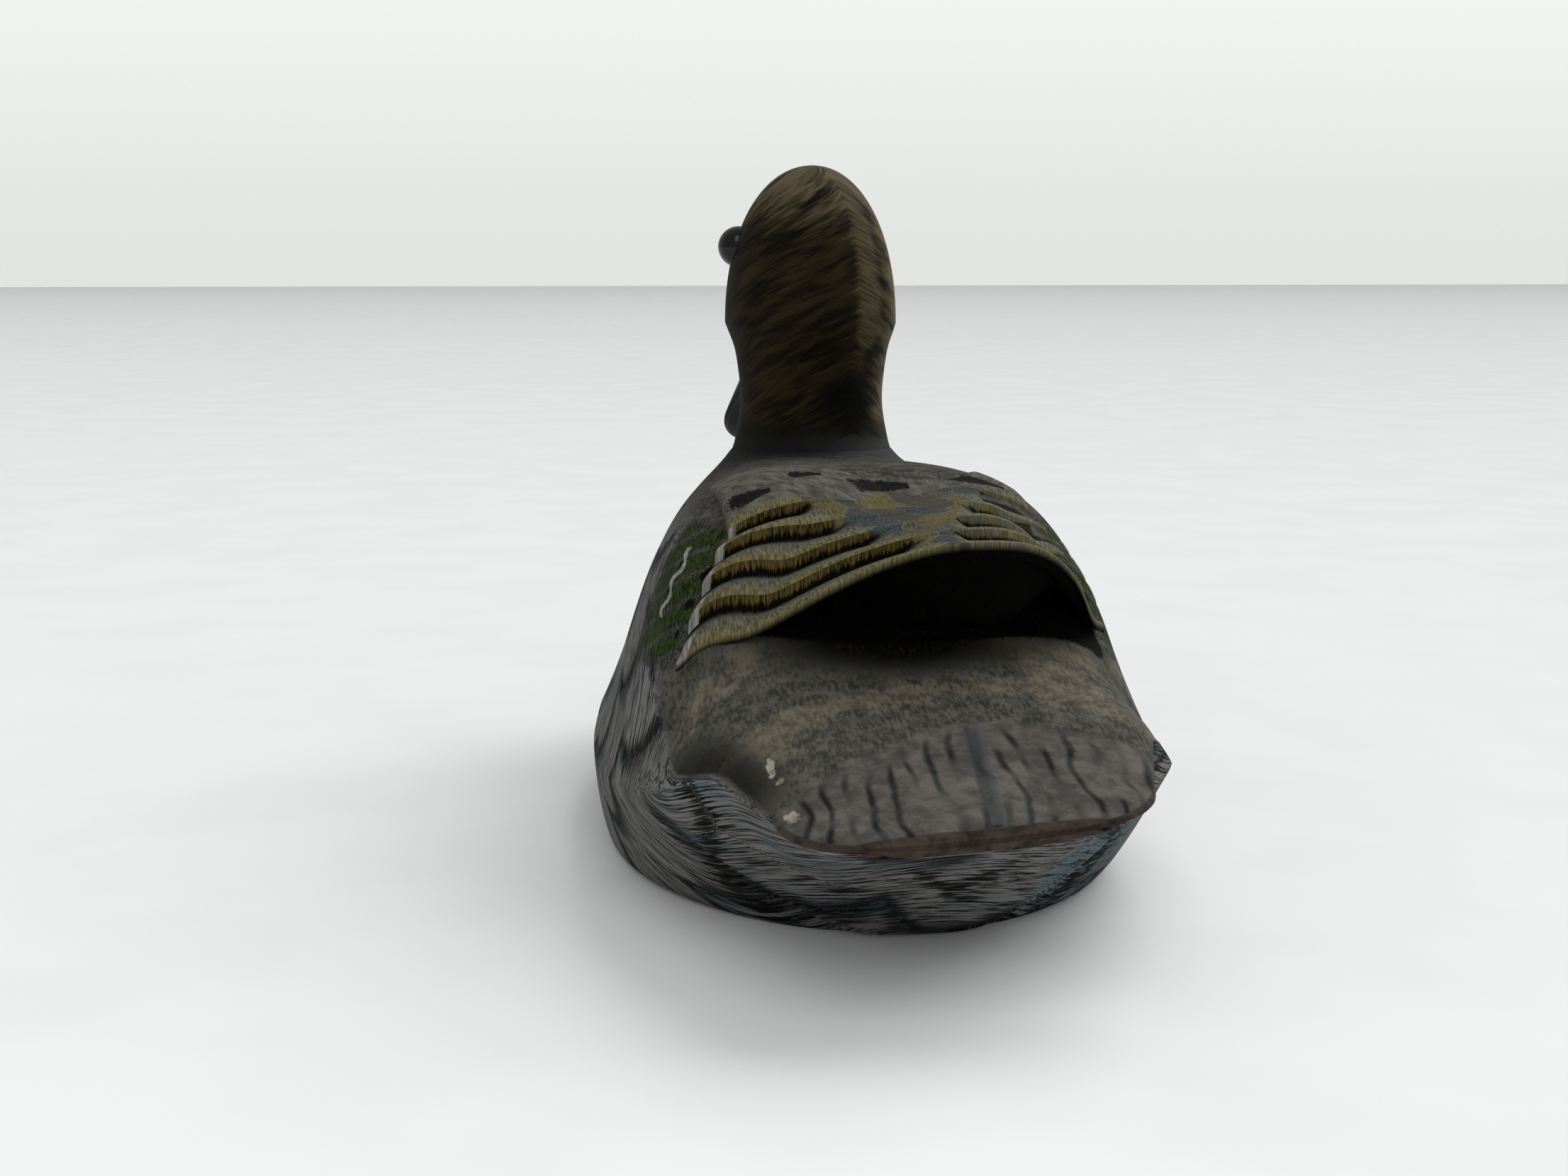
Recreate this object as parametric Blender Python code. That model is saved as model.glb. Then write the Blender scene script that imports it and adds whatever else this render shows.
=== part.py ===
"""Carved wooden duck decoy: a pegged two-board body, a set-on head, a let-in bill and bead eyes.

Metres, +Z up. The duck stands on z = 0 and faces +Y, so its left side is at -X.
"""
import math

import bmesh
import bpy
import numpy as np
from mathutils import Matrix

MM = 0.001

# Body
BODY_LENGTH = 165 * MM       # tail edge to breast
BODY_WIDTH = 73.4 * MM       # at the flanks
BACK_HEIGHT = 53 * MM        # floor to the back
BASE_WIDTH = 68 * MM         # flat underside
FLANK_HEIGHT = 13 * MM       # floor to the widest line of the flanks
TAIL_OVERHANG = 38 * MM      # tail edge to the rear of the flat underside
BREAST_OVERHANG = 21 * MM    # breast to the front of the flat underside
BREAST_HEIGHT = 20 * MM      # floor to the foremost point of the breast
BREAST_ROUNDING = 19 * MM    # length over which the breast closes
STEP_FORWARD = 43 * MM       # tail edge to the foot of the step under the wing tips
STEP_LENGTH = 14 * MM        # run of that step
STEP_CURVE = 4 * MM          # how much further forward that step lies at the wings' corners
RUMP_HEIGHT = 35 * MM        # floor to the rump at the foot of the step

# Tail
TAIL_WIDTH = 41 * MM
TAIL_HEIGHT = 23.2 * MM      # floor to the top of the tail edge
TAIL_THICKNESS = 2.2 * MM
TAIL_ROUNDING = 10 * MM      # length over which the tail's corners are rounded
TAIL_BOW = 1 * MM            # how far the ends of the tail edge lie in front of its middle
TAIL_TILT = math.radians(4)  # the tail is carved with its right corner up

# Folded wings
WING_SPAN = 56 * MM          # over the rear corners of both wings
WING_FRONT_SPAN = 41 * MM
WING_CORNER = 51.5 * MM      # tail edge to the rear corners of the wings
WING_CORNER_HEIGHT = 33 * MM
WING_TILT = 2 * MM           # how much higher the right corner lies, and lower the left one
WING_TIP = 32.5 * MM         # tail edge to the crossed wing tips
WING_REACH = 35 * MM         # length of the feathered wing, front to back
ARCH_HEIGHT = 48.8 * MM      # floor to the top of the crossed wing tips
ARCH_OFFSET = 6 * MM         # the left wing crosses over, so the top lies right of the middle
WING_LIP = 1 * MM            # thickness of the rear lip
WING_SINK = 1.6 * MM         # how deep the wing is rooted in the body
HOLLOW_DEPTH = 15 * MM       # rear lip of the wings to the back of the hollow under them
WING_LIFT = 0.8 * MM         # how far the wing stands above the back
FEATHERS = 4                 # long feathers stepped up in front of the rear lip
FEATHER_FRONT = 59 * MM      # tail edge to the foremost feather step of the left wing
FEATHER_SLANT = 7.5 * MM     # how much further forward that step lies on the right wing
FEATHER_RISE = 0.3 * MM      # edge of a feather above the plain wing
FEATHER_DROP = 1.5 * MM      # foot of a step below the plain wing

# Joints inside
GLUE_GAP = 0.3 * MM
SEAM_HEIGHT = 14 * MM        # joint between bottom board and body block
BODY_DOWEL_DIAMETER = 6 * MM
BODY_DOWEL_LENGTH = 18 * MM
FRONT_DOWEL_FORWARD = 22 * MM
REAR_DOWEL_BACK = 24 * MM
NECK_DOWEL_DIAMETER = 8 * MM
NECK_DOWEL_LENGTH = 26 * MM

# Neck and head
NECK_SETBACK = 37.5 * MM     # breast to the neck's axis
NECK_JOINT = 53 * MM         # floor to the joint under the neck
NECK_FOOT_WIDTH = 24.4 * MM  # at the joint
NECK_WIDTH = 22.6 * MM       # at the narrowest
NECK_FLARE = 1.2 * MM        # how softly the neck runs out into the back
HEAD_HEIGHT = 96 * MM        # floor to crown
CHEEK_HEIGHT = 71.5 * MM     # floor to the widest line of the head
HEAD_WIDTH = 26.3 * MM
HEAD_BACK = 14.5 * MM        # neck axis to the back of the head
HEAD_FRONT = 19 * MM         # neck axis to the face
HEAD_TURN = math.radians(11)

# Bill
BILL_LENGTH = 32 * MM        # with the root inside the face
BILL_WIDTH = 10.4 * MM
BILL_DEPTH = 10.5 * MM       # at the root
BILL_TIP_DEPTH = 3 * MM
BILL_DROP = math.radians(38)
BILL_ROOT_FORWARD = 11 * MM  # neck axis to the root's end
BILL_ROOT_HEIGHT = 70 * MM

# Eyes
EYE_DIAMETER = 6.5 * MM
EYE_PROUD = 2.6 * MM
EYE_RISE = 0.486             # height of the eyes as a share of the way from cheek to crown
EYE_FORWARD = 6 * MM
EYE_PIN_DIAMETER = 1 * MM
EYE_PIN_LENGTH = 6 * MM

# Fineness of the solids
TAIL_STATIONS = 7
BODY_STATIONS = 44
BREAST_RINGS = 7
SIDE_STEPS = 8
FLAT_STEPS = 4
TOP_STEPS = SIDE_STEPS + FLAT_STEPS
WING_COLUMNS = 48
WING_FRONT_ROWS = 4
HEAD_POINTS = 32
NECK_RINGS = 9
CROWN_RINGS = 9
BILL_POINTS = 20
BILL_RINGS = 12
ROUND_STEPS = 24

TAIL_Y = -BODY_LENGTH / 2
BREAST_Y = BODY_LENGTH / 2
BASE_REAR_Y = TAIL_Y + TAIL_OVERHANG
BASE_FRONT_Y = BREAST_Y - BREAST_OVERHANG
STEP_Y = TAIL_Y + STEP_FORWARD
NECK_FORWARD = BREAST_Y - NECK_SETBACK
EYE_HEIGHT = CHEEK_HEIGHT + EYE_RISE * (HEAD_HEIGHT - CHEEK_HEIGHT)


def smooth_line(*points):
    """A curve through points with rising x that never swings past them."""
    x, y = (np.array(column, float) for column in zip(*points))
    run = np.diff(x)
    slope = np.diff(y) / run
    lean = np.concatenate([slope[:1], np.zeros(len(x) - 2), slope[-1:]])
    for i in range(1, len(x) - 1):
        if slope[i - 1] * slope[i] > 0:
            lean[i] = 2 * slope[i - 1] * slope[i] / (slope[i - 1] + slope[i])

    def at(place):
        place = np.clip(place, x[0], x[-1])
        i = np.clip(np.searchsorted(x, place) - 1, 0, len(run) - 1)
        t = (place - x[i]) / run[i]
        rise = t * t * (3 - 2 * t)
        bend = lean[i] * t * (1 - t) ** 2 - lean[i + 1] * t * t * (1 - t)
        return y[i] * (1 - rise) + y[i + 1] * rise + bend * run[i]

    return at


def fade(place, start, end):
    """0 at start, 1 at end, with soft ends."""
    t = np.clip((place - start) / (end - start), 0, 1)
    return t * t * (3 - 2 * t)


# The lines that the body is lofted on, from tail to breast
MID_Y = 0.02 * BODY_LENGTH
HALF_WIDTH = BODY_WIDTH / 2
HALF_BASE = BASE_WIDTH / 2
TAIL_UNDERSIDE = TAIL_HEIGHT - TAIL_THICKNESS

plan_line = smooth_line(
    (TAIL_Y, 0.3 * TAIL_WIDTH),
    (TAIL_Y + 0.11 * TAIL_ROUNDING, 0.37 * TAIL_WIDTH),
    (TAIL_Y + 0.3 * TAIL_ROUNDING, 0.44 * TAIL_WIDTH),
    (TAIL_Y + 0.55 * TAIL_ROUNDING, 0.485 * TAIL_WIDTH),
    (TAIL_Y + TAIL_ROUNDING, 0.515 * TAIL_WIDTH),
    (TAIL_Y + 0.6 * TAIL_OVERHANG, 0.4 * TAIL_WIDTH + 0.235 * HALF_WIDTH),
    (BASE_REAR_Y, 0.87 * HALF_WIDTH),
    (0.5 * (BASE_REAR_Y + MID_Y), 0.985 * HALF_WIDTH),
    (MID_Y, HALF_WIDTH),
    (MID_Y + 0.4 * (BASE_FRONT_Y - MID_Y), 0.95 * HALF_WIDTH),
    (MID_Y + 0.78 * (BASE_FRONT_Y - MID_Y), 0.79 * HALF_WIDTH),
    (BASE_FRONT_Y, 0.58 * HALF_WIDTH),
    (BREAST_Y, 0.36 * HALF_WIDTH),
)
back_line = smooth_line(
    (TAIL_Y, TAIL_HEIGHT),
    (TAIL_Y + 0.5 * STEP_FORWARD, 0.55 * TAIL_HEIGHT + 0.45 * RUMP_HEIGHT),
    (STEP_Y, RUMP_HEIGHT),
    (STEP_Y + STEP_LENGTH, 0.91 * BACK_HEIGHT),
    (STEP_Y + 2.4 * STEP_LENGTH, BACK_HEIGHT),
    (NECK_FORWARD - NECK_FOOT_WIDTH, 0.975 * BACK_HEIGHT),
    (NECK_FORWARD, 0.95 * BACK_HEIGHT),
    (BASE_FRONT_Y, 0.86 * BACK_HEIGHT),
    (BREAST_Y, 0.68 * BACK_HEIGHT),
)
flank_line = smooth_line(
    (TAIL_Y, 0.5 * (TAIL_HEIGHT + TAIL_UNDERSIDE)),
    (TAIL_Y + 0.6 * TAIL_OVERHANG, 0.45 * TAIL_HEIGHT + 0.4 * RUMP_HEIGHT),
    (BASE_REAR_Y, 0.55 * RUMP_HEIGHT),
    (0.5 * (BASE_REAR_Y + MID_Y), 1.15 * FLANK_HEIGHT),
    (MID_Y, FLANK_HEIGHT),
    (BASE_FRONT_Y, 0.3 * FLANK_HEIGHT + 0.7 * BREAST_HEIGHT),
    (BREAST_Y, BREAST_HEIGHT),
)
keel_line = smooth_line(
    (TAIL_Y, TAIL_UNDERSIDE),
    (TAIL_Y + 0.3 * TAIL_OVERHANG, 0.83 * TAIL_UNDERSIDE),
    (TAIL_Y + 0.62 * TAIL_OVERHANG, 0.47 * TAIL_UNDERSIDE),
    (TAIL_Y + 0.84 * TAIL_OVERHANG, 0.14 * TAIL_UNDERSIDE),
    (BASE_REAR_Y, 0),
    (BASE_FRONT_Y, 0),
    (BASE_FRONT_Y + 0.4 * BREAST_OVERHANG, 0.1 * BREAST_HEIGHT),
    (BREAST_Y, 0.4 * BREAST_HEIGHT),
)


def base_line(y):
    """Half the width of the flat underside, an oval drawn out to a narrow strip under tail and breast."""
    reach = MID_Y - BASE_REAR_Y if y < MID_Y else BASE_FRONT_Y - MID_Y
    oval = HALF_BASE * math.sqrt(1 - min(abs(y - MID_Y) / reach, 1) ** 2)
    return max(oval, 0.15 * plan_line(y))


def half_section(y, top_steps=TOP_STEPS, side_steps=SIDE_STEPS, flat_steps=FLAT_STEPS):
    """The right half of the body's section at y, from the middle of the back to the middle of the base."""
    width, top, flank = plan_line(y), back_line(y), flank_line(y)
    base, keel = base_line(y), keel_line(y)
    tail = 1 - fade(y, TAIL_Y + 0.4 * TAIL_OVERHANG, STEP_Y)
    winged = 1 - fade(y, -0.1 * BODY_LENGTH, 0.25 * BODY_LENGTH)
    rise = top - flank
    corners = (
        (0, top),
        (width * (0.77 + 0.07 * winged + 0.06 * tail), top + rise * 0.06 * (1 - tail)),
        (width * (0.69 + 0.1 * winged + 0.21 * tail), flank + rise * (0.6 + 0.15 * tail)),
        (width, flank),
    )
    t = np.linspace(0, 1, top_steps + 1)
    weights = ((1 - t) ** 3, 3 * t * (1 - t) ** 2, 3 * t * t * (1 - t), t ** 3)
    x = sum(w * corner[0] for w, corner in zip(weights, corners))
    z = sum(w * corner[1] for w, corner in zip(weights, corners))
    down = np.linspace(1, 0, side_steps + 1)[1:]
    inward = np.linspace(1, 0, flat_steps + 1)[1:]
    bulge = 1.25 + 0.35 * fade(y, BASE_REAR_Y, MID_Y)
    side = base + (width - base) * (1 - (1 - down) ** bulge) ** (1 / bulge)
    lower_x = np.concatenate([side, base * inward])
    lower_z = np.concatenate([keel + (flank - keel) * down, np.full(flat_steps, keel)])
    if tail > 0 and len(lower_x) == top_steps:
        # The tail is a thin leaf, and each point under it lies straight below one on top
        leaf_z = flank - (flank - keel) * (1 - (x[-2::-1] / width) ** 4)
        lower_x = lower_x + (x[-2::-1] - lower_x) * tail
        lower_z = lower_z + (leaf_z - lower_z) * tail
    return np.concatenate([x, lower_x]), np.concatenate([z, lower_z])


def step_curve(x, y):
    """How far the step under the wing tips lies further forward at x."""
    behind = fade(y, TAIL_Y + 0.5 * TAIL_OVERHANG, STEP_Y)
    ahead = fade(y, STEP_Y + STEP_LENGTH, STEP_Y + 3 * STEP_LENGTH)
    return STEP_CURVE * (x / (WING_SPAN / 2)) ** 2 * behind * (1 - ahead)


def carve(points):
    """The step's curve, the tail's bow and tilt and the flare round the neck, on points of the plain loft."""
    x, y, z = points.T
    y = y + step_curve(x, y) * fade(z, 0.5 * RUMP_HEIGHT, 0.9 * RUMP_HEIGHT)
    towards_tail = 1 - fade(y, TAIL_Y, BASE_REAR_Y)
    tail_side = np.abs(x) / (TAIL_WIDTH / 2)
    y = y + TAIL_BOW * np.clip(tail_side, 0, 1.2) ** 2.2 * towards_tail
    high = fade(z, 0.2 * TAIL_HEIGHT, 0.8 * TAIL_HEIGHT)
    tilt = 1 - fade(y, TAIL_Y + 0.3 * TAIL_OVERHANG, STEP_Y + STEP_LENGTH)
    z = z + x * math.tan(TAIL_TILT) * tilt * high
    from_neck = np.hypot(x, y - NECK_FORWARD) - NECK_FOOT_WIDTH / 2
    flare = np.exp(-np.clip(from_neck, 0, None) / NECK_FLARE)
    upper = fade(z, 0.6 * BACK_HEIGHT, 0.8 * BACK_HEIGHT)
    z = z + np.clip(NECK_JOINT + 5 * GLUE_GAP - z, 0, None) * flare * upper
    return np.stack([x, y, z], 1)


def body_ring(y):
    """One closed section of the body, with the breast's closing."""
    x, z = half_section(y)
    x = np.roll(np.concatenate([x, -x[-2:0:-1]]), -TOP_STEPS)
    z = np.roll(np.concatenate([z, z[-2:0:-1]]), -TOP_STEPS)
    closing = np.clip((y - BREAST_Y + BREAST_ROUNDING) / BREAST_ROUNDING, 0, 1)
    size = math.sqrt(1 - closing ** 2)
    return carve(np.stack([x * size, np.full(len(x), y), BREAST_HEIGHT + (z - BREAST_HEIGHT) * size], 1))


def body_top(x, y):
    """Height of the body's upper surface over the place (x, y)."""
    line_x, line_z = half_section(y - step_curve(x, y), top_steps=60)
    return np.interp(abs(x), line_x[:61], line_z[:61])


def cap(mesh, row, pointed):
    """Closes a ring with a strip of faces across it: pointed strips start in the ring's first point."""
    start = 0 if pointed else -1
    pairs = [(row[i], row[start - i]) for i in range(len(row) // 2 + 1 + start)]
    for (a, b), (c, d) in zip(pairs, pairs[1:]):
        mesh.faces.new(list(dict.fromkeys((a, c, d, b))))


def loft(rings, tip=None, pointed=True):
    """A closed mesh over closed rings: a cap on the first ring, and a cap or a tip past the last."""
    mesh = bmesh.new()
    rows = [[mesh.verts.new(point) for point in ring] for ring in rings]
    count = len(rows[0])
    for row, following in zip(rows, rows[1:]):
        for i in range(count):
            j = (i + 1) % count
            mesh.faces.new((row[i], row[j], following[j], following[i]))
    cap(mesh, rows[0], pointed)
    if tip is None:
        cap(mesh, rows[-1], pointed)
    else:
        point = mesh.verts.new(tip)
        for i in range(count):
            mesh.faces.new((rows[-1][i], rows[-1][(i + 1) % count], point))
    bmesh.ops.recalc_face_normals(mesh, faces=mesh.faces)
    return mesh


def bar(diameter, length):
    """A cylinder round the local Z axis, centred on the origin."""
    mesh = bmesh.new()
    bmesh.ops.create_cone(mesh, cap_ends=True, segments=ROUND_STEPS,
                          radius1=diameter / 2, radius2=diameter / 2, depth=length)
    return mesh


def ball(diameter):
    """A sphere round the origin."""
    mesh = bmesh.new()
    bmesh.ops.create_uvsphere(mesh, u_segments=ROUND_STEPS, v_segments=ROUND_STEPS // 2, radius=diameter / 2)
    return mesh


def slab(low_z, high_z):
    """A box over the whole plan of the body, between two heights."""
    mesh = bmesh.new()
    size = Matrix.Diagonal((2 * BODY_WIDTH, 2 * BODY_LENGTH, high_z - low_z, 1))
    bmesh.ops.create_cube(mesh, size=1, matrix=Matrix.Translation((0, 0, (low_z + high_z) / 2)) @ size)
    return mesh


for old in list(bpy.data.objects):
    bpy.data.objects.remove(old, do_unlink=True)
parts = bpy.data.collections.new("duck_decoy")
cutters = bpy.data.collections.new("duck_decoy_cutters")
for group in (parts, cutters):
    bpy.context.scene.collection.children.link(group)


def finish(name, colour, roughness, metallic=0.0):
    """A plain paint, wood, glass or wire finish."""
    material = bpy.data.materials.new(name)
    material.use_nodes = True
    shader = material.node_tree.nodes["Principled BSDF"]
    shader.inputs["Base Color"].default_value = (*colour, 1)
    shader.inputs["Roughness"].default_value = roughness
    shader.inputs["Metallic"].default_value = metallic
    material.diffuse_color = (*colour, 1)
    return material


def add_object(name, shape, group, place=Matrix()):
    """An object in group from a bmesh, which it uses up."""
    mesh = bpy.data.meshes.new(name)
    shape.to_mesh(mesh)
    shape.free()
    mesh.shade_smooth()
    mesh.set_sharp_from_angle(angle=math.radians(40))
    made = bpy.data.objects.new(name, mesh)
    made.matrix_world = place
    group.objects.link(made)
    return made


def add_part(name, shape, material, place=Matrix()):
    """One piece of the decoy."""
    part = add_object(name, shape, parts, place)
    part.data.materials.append(material)
    return part


def add_cutter(name, shape, place=Matrix()):
    """A shape that other pieces are cut by or joined with."""
    cutter = add_object(name, shape, cutters, place)
    cutter.hide_render = True
    cutter.display_type = "WIRE"
    return cutter


def combine(part, other, operation="DIFFERENCE"):
    """Cuts other out of part, or joins it on."""
    change = part.modifiers.new(other.name, "BOOLEAN")
    change.operation = operation
    change.solver = "EXACT"
    change.object = other


def body_shape():
    """The plain body, tail to breast, before it is sawn at the seam."""
    tail = TAIL_Y + TAIL_ROUNDING * np.linspace(0, 1, TAIL_STATIONS, endpoint=False) ** 1.5
    straight = np.linspace(TAIL_Y + TAIL_ROUNDING, BREAST_Y - BREAST_ROUNDING, BODY_STATIONS)
    turn = np.linspace(0, math.pi / 2, BREAST_RINGS + 1)[1:-1]
    stations = np.concatenate([tail, straight, BREAST_Y - BREAST_ROUNDING * (1 - np.sin(turn))])
    return loft([body_ring(y) for y in stations], tip=(0, BREAST_Y, BREAST_HEIGHT))


def arch_rise(x):
    """Share of the arch's height at x along the rear edge of the wings, 0 at the corners and 1 at the top."""
    left = np.clip((ARCH_OFFSET - x) / (WING_SPAN / 2 + ARCH_OFFSET), 0, 1)
    right = np.clip((x - ARCH_OFFSET) / (WING_SPAN / 2 - ARCH_OFFSET), 0, 1) ** 1.6
    return np.clip(np.cos(math.pi / 2 * np.maximum(left, right)), 0, 1) ** 1.5


def wing_plain(across, place):
    """A point of the wings before their feathers are stepped, its reach from the lip and the body under it.

    Across runs from -1, left, to 1, right. Place counts feathers from the lip, then one more to the front.
    """
    rise = arch_rise(across * WING_SPAN / 2)
    corner = WING_CORNER_HEIGHT + WING_TILT * across
    edge_y = TAIL_Y + WING_CORNER + (WING_TIP - WING_CORNER) * rise
    edge_z = corner + (ARCH_HEIGHT - corner) * rise
    step_y = TAIL_Y + FEATHER_FRONT + FEATHER_SLANT * fade(across, -0.2, 0.7)
    share = min(place / FEATHERS, 1)
    y = edge_y + (step_y - edge_y) * share + (edge_y + WING_REACH - step_y) * max(place - FEATHERS, 0)
    reach = y - edge_y
    x = across / 2 * (WING_SPAN + (WING_FRONT_SPAN - WING_SPAN) * share)
    back = body_top(x, y)
    # The long feathers of the left wing lie on the flank, so they are lifted by the depth of a step
    roll = FEATHER_DROP * (1 - fade(across, -0.5, 0.3))
    lifted = back + WING_LIFT * (0.25 + 0.75 * share)
    lifted += roll * (fade(place, 0, 1) - fade(place, FEATHERS, FEATHERS + 1))
    chord = edge_z + (body_top(x, step_y) + WING_LIFT + roll - edge_z) * share
    return x, y, max(chord, lifted) if place < FEATHERS else lifted, reach, back


def wing_shape():
    """Both folded wings as one thick shell, stepped up where a feather lies over the next."""
    depth = FEATHER_RISE + FEATHER_DROP
    rows = [(k + t, FEATHER_RISE - depth * t) for k in range(FEATHERS) for t in (0, 0.45, 0.92)]
    rows += [(FEATHERS + t, FEATHER_RISE * (1 - t)) for t in np.linspace(0, 1, WING_FRONT_ROWS)]
    rings = []
    for across in np.linspace(-1, 1, WING_COLUMNS + 1):
        top, under = [], []
        for place, step in rows:
            x, y, z, reach, back = wing_plain(across, place)
            # The steps run out on both sides of the middle of the back, further apart towards the front
            row = min(place, FEATHERS)
            left = fade(0.5 * ARCH_OFFSET - 0.55 * ARCH_OFFSET * row - x, -WING_LIP / 2, 2 * WING_LIP)
            right = fade(x - 0.75 * ARCH_OFFSET - 0.1 * ARCH_OFFSET * row ** 2, -WING_LIP / 2, 2 * WING_LIP)
            top.append((x, y, z + step * (0.15 + 0.85 * max(left, right))))
            free = z - WING_LIP - FEATHER_DROP * fade(reach, 0, 3 * WING_LIP)
            rooted = min(free, back - WING_SINK)
            under.append((x, y, free + (rooted - free) * fade(reach, HOLLOW_DEPTH / 3, HOLLOW_DEPTH)))
        rings.append(top + under[::-1])
    return loft(rings, pointed=False)


NECK_TOP = NECK_JOINT + 0.36 * (CHEEK_HEIGHT - NECK_JOINT)
head_width_line = smooth_line(
    (NECK_JOINT, NECK_FOOT_WIDTH / 2),
    (NECK_TOP, NECK_WIDTH / 2),
    (NECK_TOP + 0.6 * (CHEEK_HEIGHT - NECK_TOP), 0.45 * HEAD_WIDTH),
    (CHEEK_HEIGHT, HEAD_WIDTH / 2),
)
head_back_line = smooth_line(
    (NECK_JOINT, NECK_FOOT_WIDTH / 2),
    (NECK_TOP, 0.48 * NECK_WIDTH),
    (CHEEK_HEIGHT, HEAD_BACK),
)
head_front_line = smooth_line(
    (NECK_JOINT, NECK_FOOT_WIDTH / 2),
    (NECK_TOP, 0.52 * NECK_WIDTH),
    (NECK_TOP + 0.5 * (CHEEK_HEIGHT - NECK_TOP), 0.72 * HEAD_FRONT),
    (CHEEK_HEIGHT, HEAD_FRONT),
)


def head_ring(z):
    """One level section of neck and head, square to the head's heading."""
    crown = np.clip((z - CHEEK_HEIGHT) / (HEAD_HEIGHT - CHEEK_HEIGHT), 0, 1)
    size = (1 - crown ** 2.1) ** (1 / 2.1)
    width, back, front = (line(z) * size for line in (head_width_line, head_back_line, head_front_line))
    turn = np.linspace(0, 2 * math.pi, HEAD_POINTS, endpoint=False)
    forward = np.sin(turn)
    y = np.where(forward > 0, front, back) * forward
    return np.stack([width * np.cos(turn), y, np.full(HEAD_POINTS, z)], 1)


def head_shape():
    """Neck and head, from the joint to the crown."""
    neck = np.linspace(NECK_JOINT + GLUE_GAP / 2, CHEEK_HEIGHT, NECK_RINGS)
    turn = np.linspace(0, math.pi / 2, CROWN_RINGS + 1)[1:-1]
    crown = CHEEK_HEIGHT + (HEAD_HEIGHT - CHEEK_HEIGHT) * np.sin(turn)
    return loft([head_ring(z) for z in np.concatenate([neck, crown])], tip=(0, 0, HEAD_HEIGHT))


def bill_shape(extra=0.0):
    """The bill along the local Y axis, from its root at the origin, thicker all round by extra."""
    half_width = smooth_line((0, 0.4 * BILL_WIDTH), (0.35, 0.43 * BILL_WIDTH), (0.75, BILL_WIDTH / 2),
                             (1, 0.48 * BILL_WIDTH))
    half_depth = smooth_line((0, BILL_DEPTH / 2), (0.4, 0.4 * BILL_DEPTH), (0.75, 0.6 * BILL_TIP_DEPTH),
                             (1, BILL_TIP_DEPTH / 2))
    turn = np.linspace(0, 2 * math.pi, BILL_POINTS, endpoint=False)
    rings = []
    for along in 1 - np.linspace(1, 0, BILL_RINGS, endpoint=False) ** 2:
        tip = math.sqrt(1 - max(0, (along - 0.75) / 0.25) ** 2)
        x = (half_width(along) * tip + extra) * np.cos(turn)
        z = (half_depth(along) * tip + extra) * np.sin(turn)
        y = np.full(BILL_POINTS, along * BILL_LENGTH - (extra if along == 0 else 0))
        rings.append(np.stack([x, y, z], 1))
    return loft(rings, tip=(0, BILL_LENGTH + extra, 0))


# Finishes
back_paint = finish("back paint", (0.10, 0.085, 0.055), 0.6)
flank_paint = finish("flank paint", (0.085, 0.083, 0.088), 0.6)
head_paint = finish("head paint", (0.045, 0.036, 0.022), 0.6)
bill_paint = finish("bill paint", (0.006, 0.006, 0.006), 0.4)
eye_glass = finish("black glass", (0.003, 0.003, 0.003), 0.05)
peg_wood = finish("birch peg", (0.55, 0.38, 0.2), 0.7)
shank_wire = finish("shank wire", (0.35, 0.35, 0.35), 0.35, 1.0)

# Body, sawn at the seam, with the wings joined on
body_block = add_part("body_block", body_shape(), back_paint)
bottom_board = add_part("bottom_board", body_shape(), flank_paint)
wings = add_cutter("folded wings", wing_shape())
below_seam = add_cutter("below seam", slab(-BODY_LENGTH, SEAM_HEIGHT + GLUE_GAP / 2))
above_seam = add_cutter("above seam", slab(SEAM_HEIGHT - GLUE_GAP / 2, BODY_LENGTH))
combine(body_block, wings, "UNION")
combine(body_block, below_seam)
combine(bottom_board, above_seam)

# Seat of the neck
seat_height = HEAD_HEIGHT - NECK_JOINT
seat = add_cutter("neck seat", bar(NECK_FOOT_WIDTH + 4 * NECK_FLARE, seat_height),
                  Matrix.Translation((0, NECK_FORWARD, NECK_JOINT - GLUE_GAP / 2 + seat_height / 2)))
combine(body_block, seat)

# Head, bill and eyes, square to the head's heading
heading = Matrix.Translation((0, NECK_FORWARD, 0)) @ Matrix.Rotation(HEAD_TURN, 4, "Z")
head = add_part("head", head_shape(), head_paint, heading)
bill_place = (heading @ Matrix.Translation((0, BILL_ROOT_FORWARD, BILL_ROOT_HEIGHT))
              @ Matrix.Rotation(-BILL_DROP, 4, "X"))
add_part("bill", bill_shape(), bill_paint, bill_place)
combine(head, add_cutter("bill socket", bill_shape(GLUE_GAP), bill_place))

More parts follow.
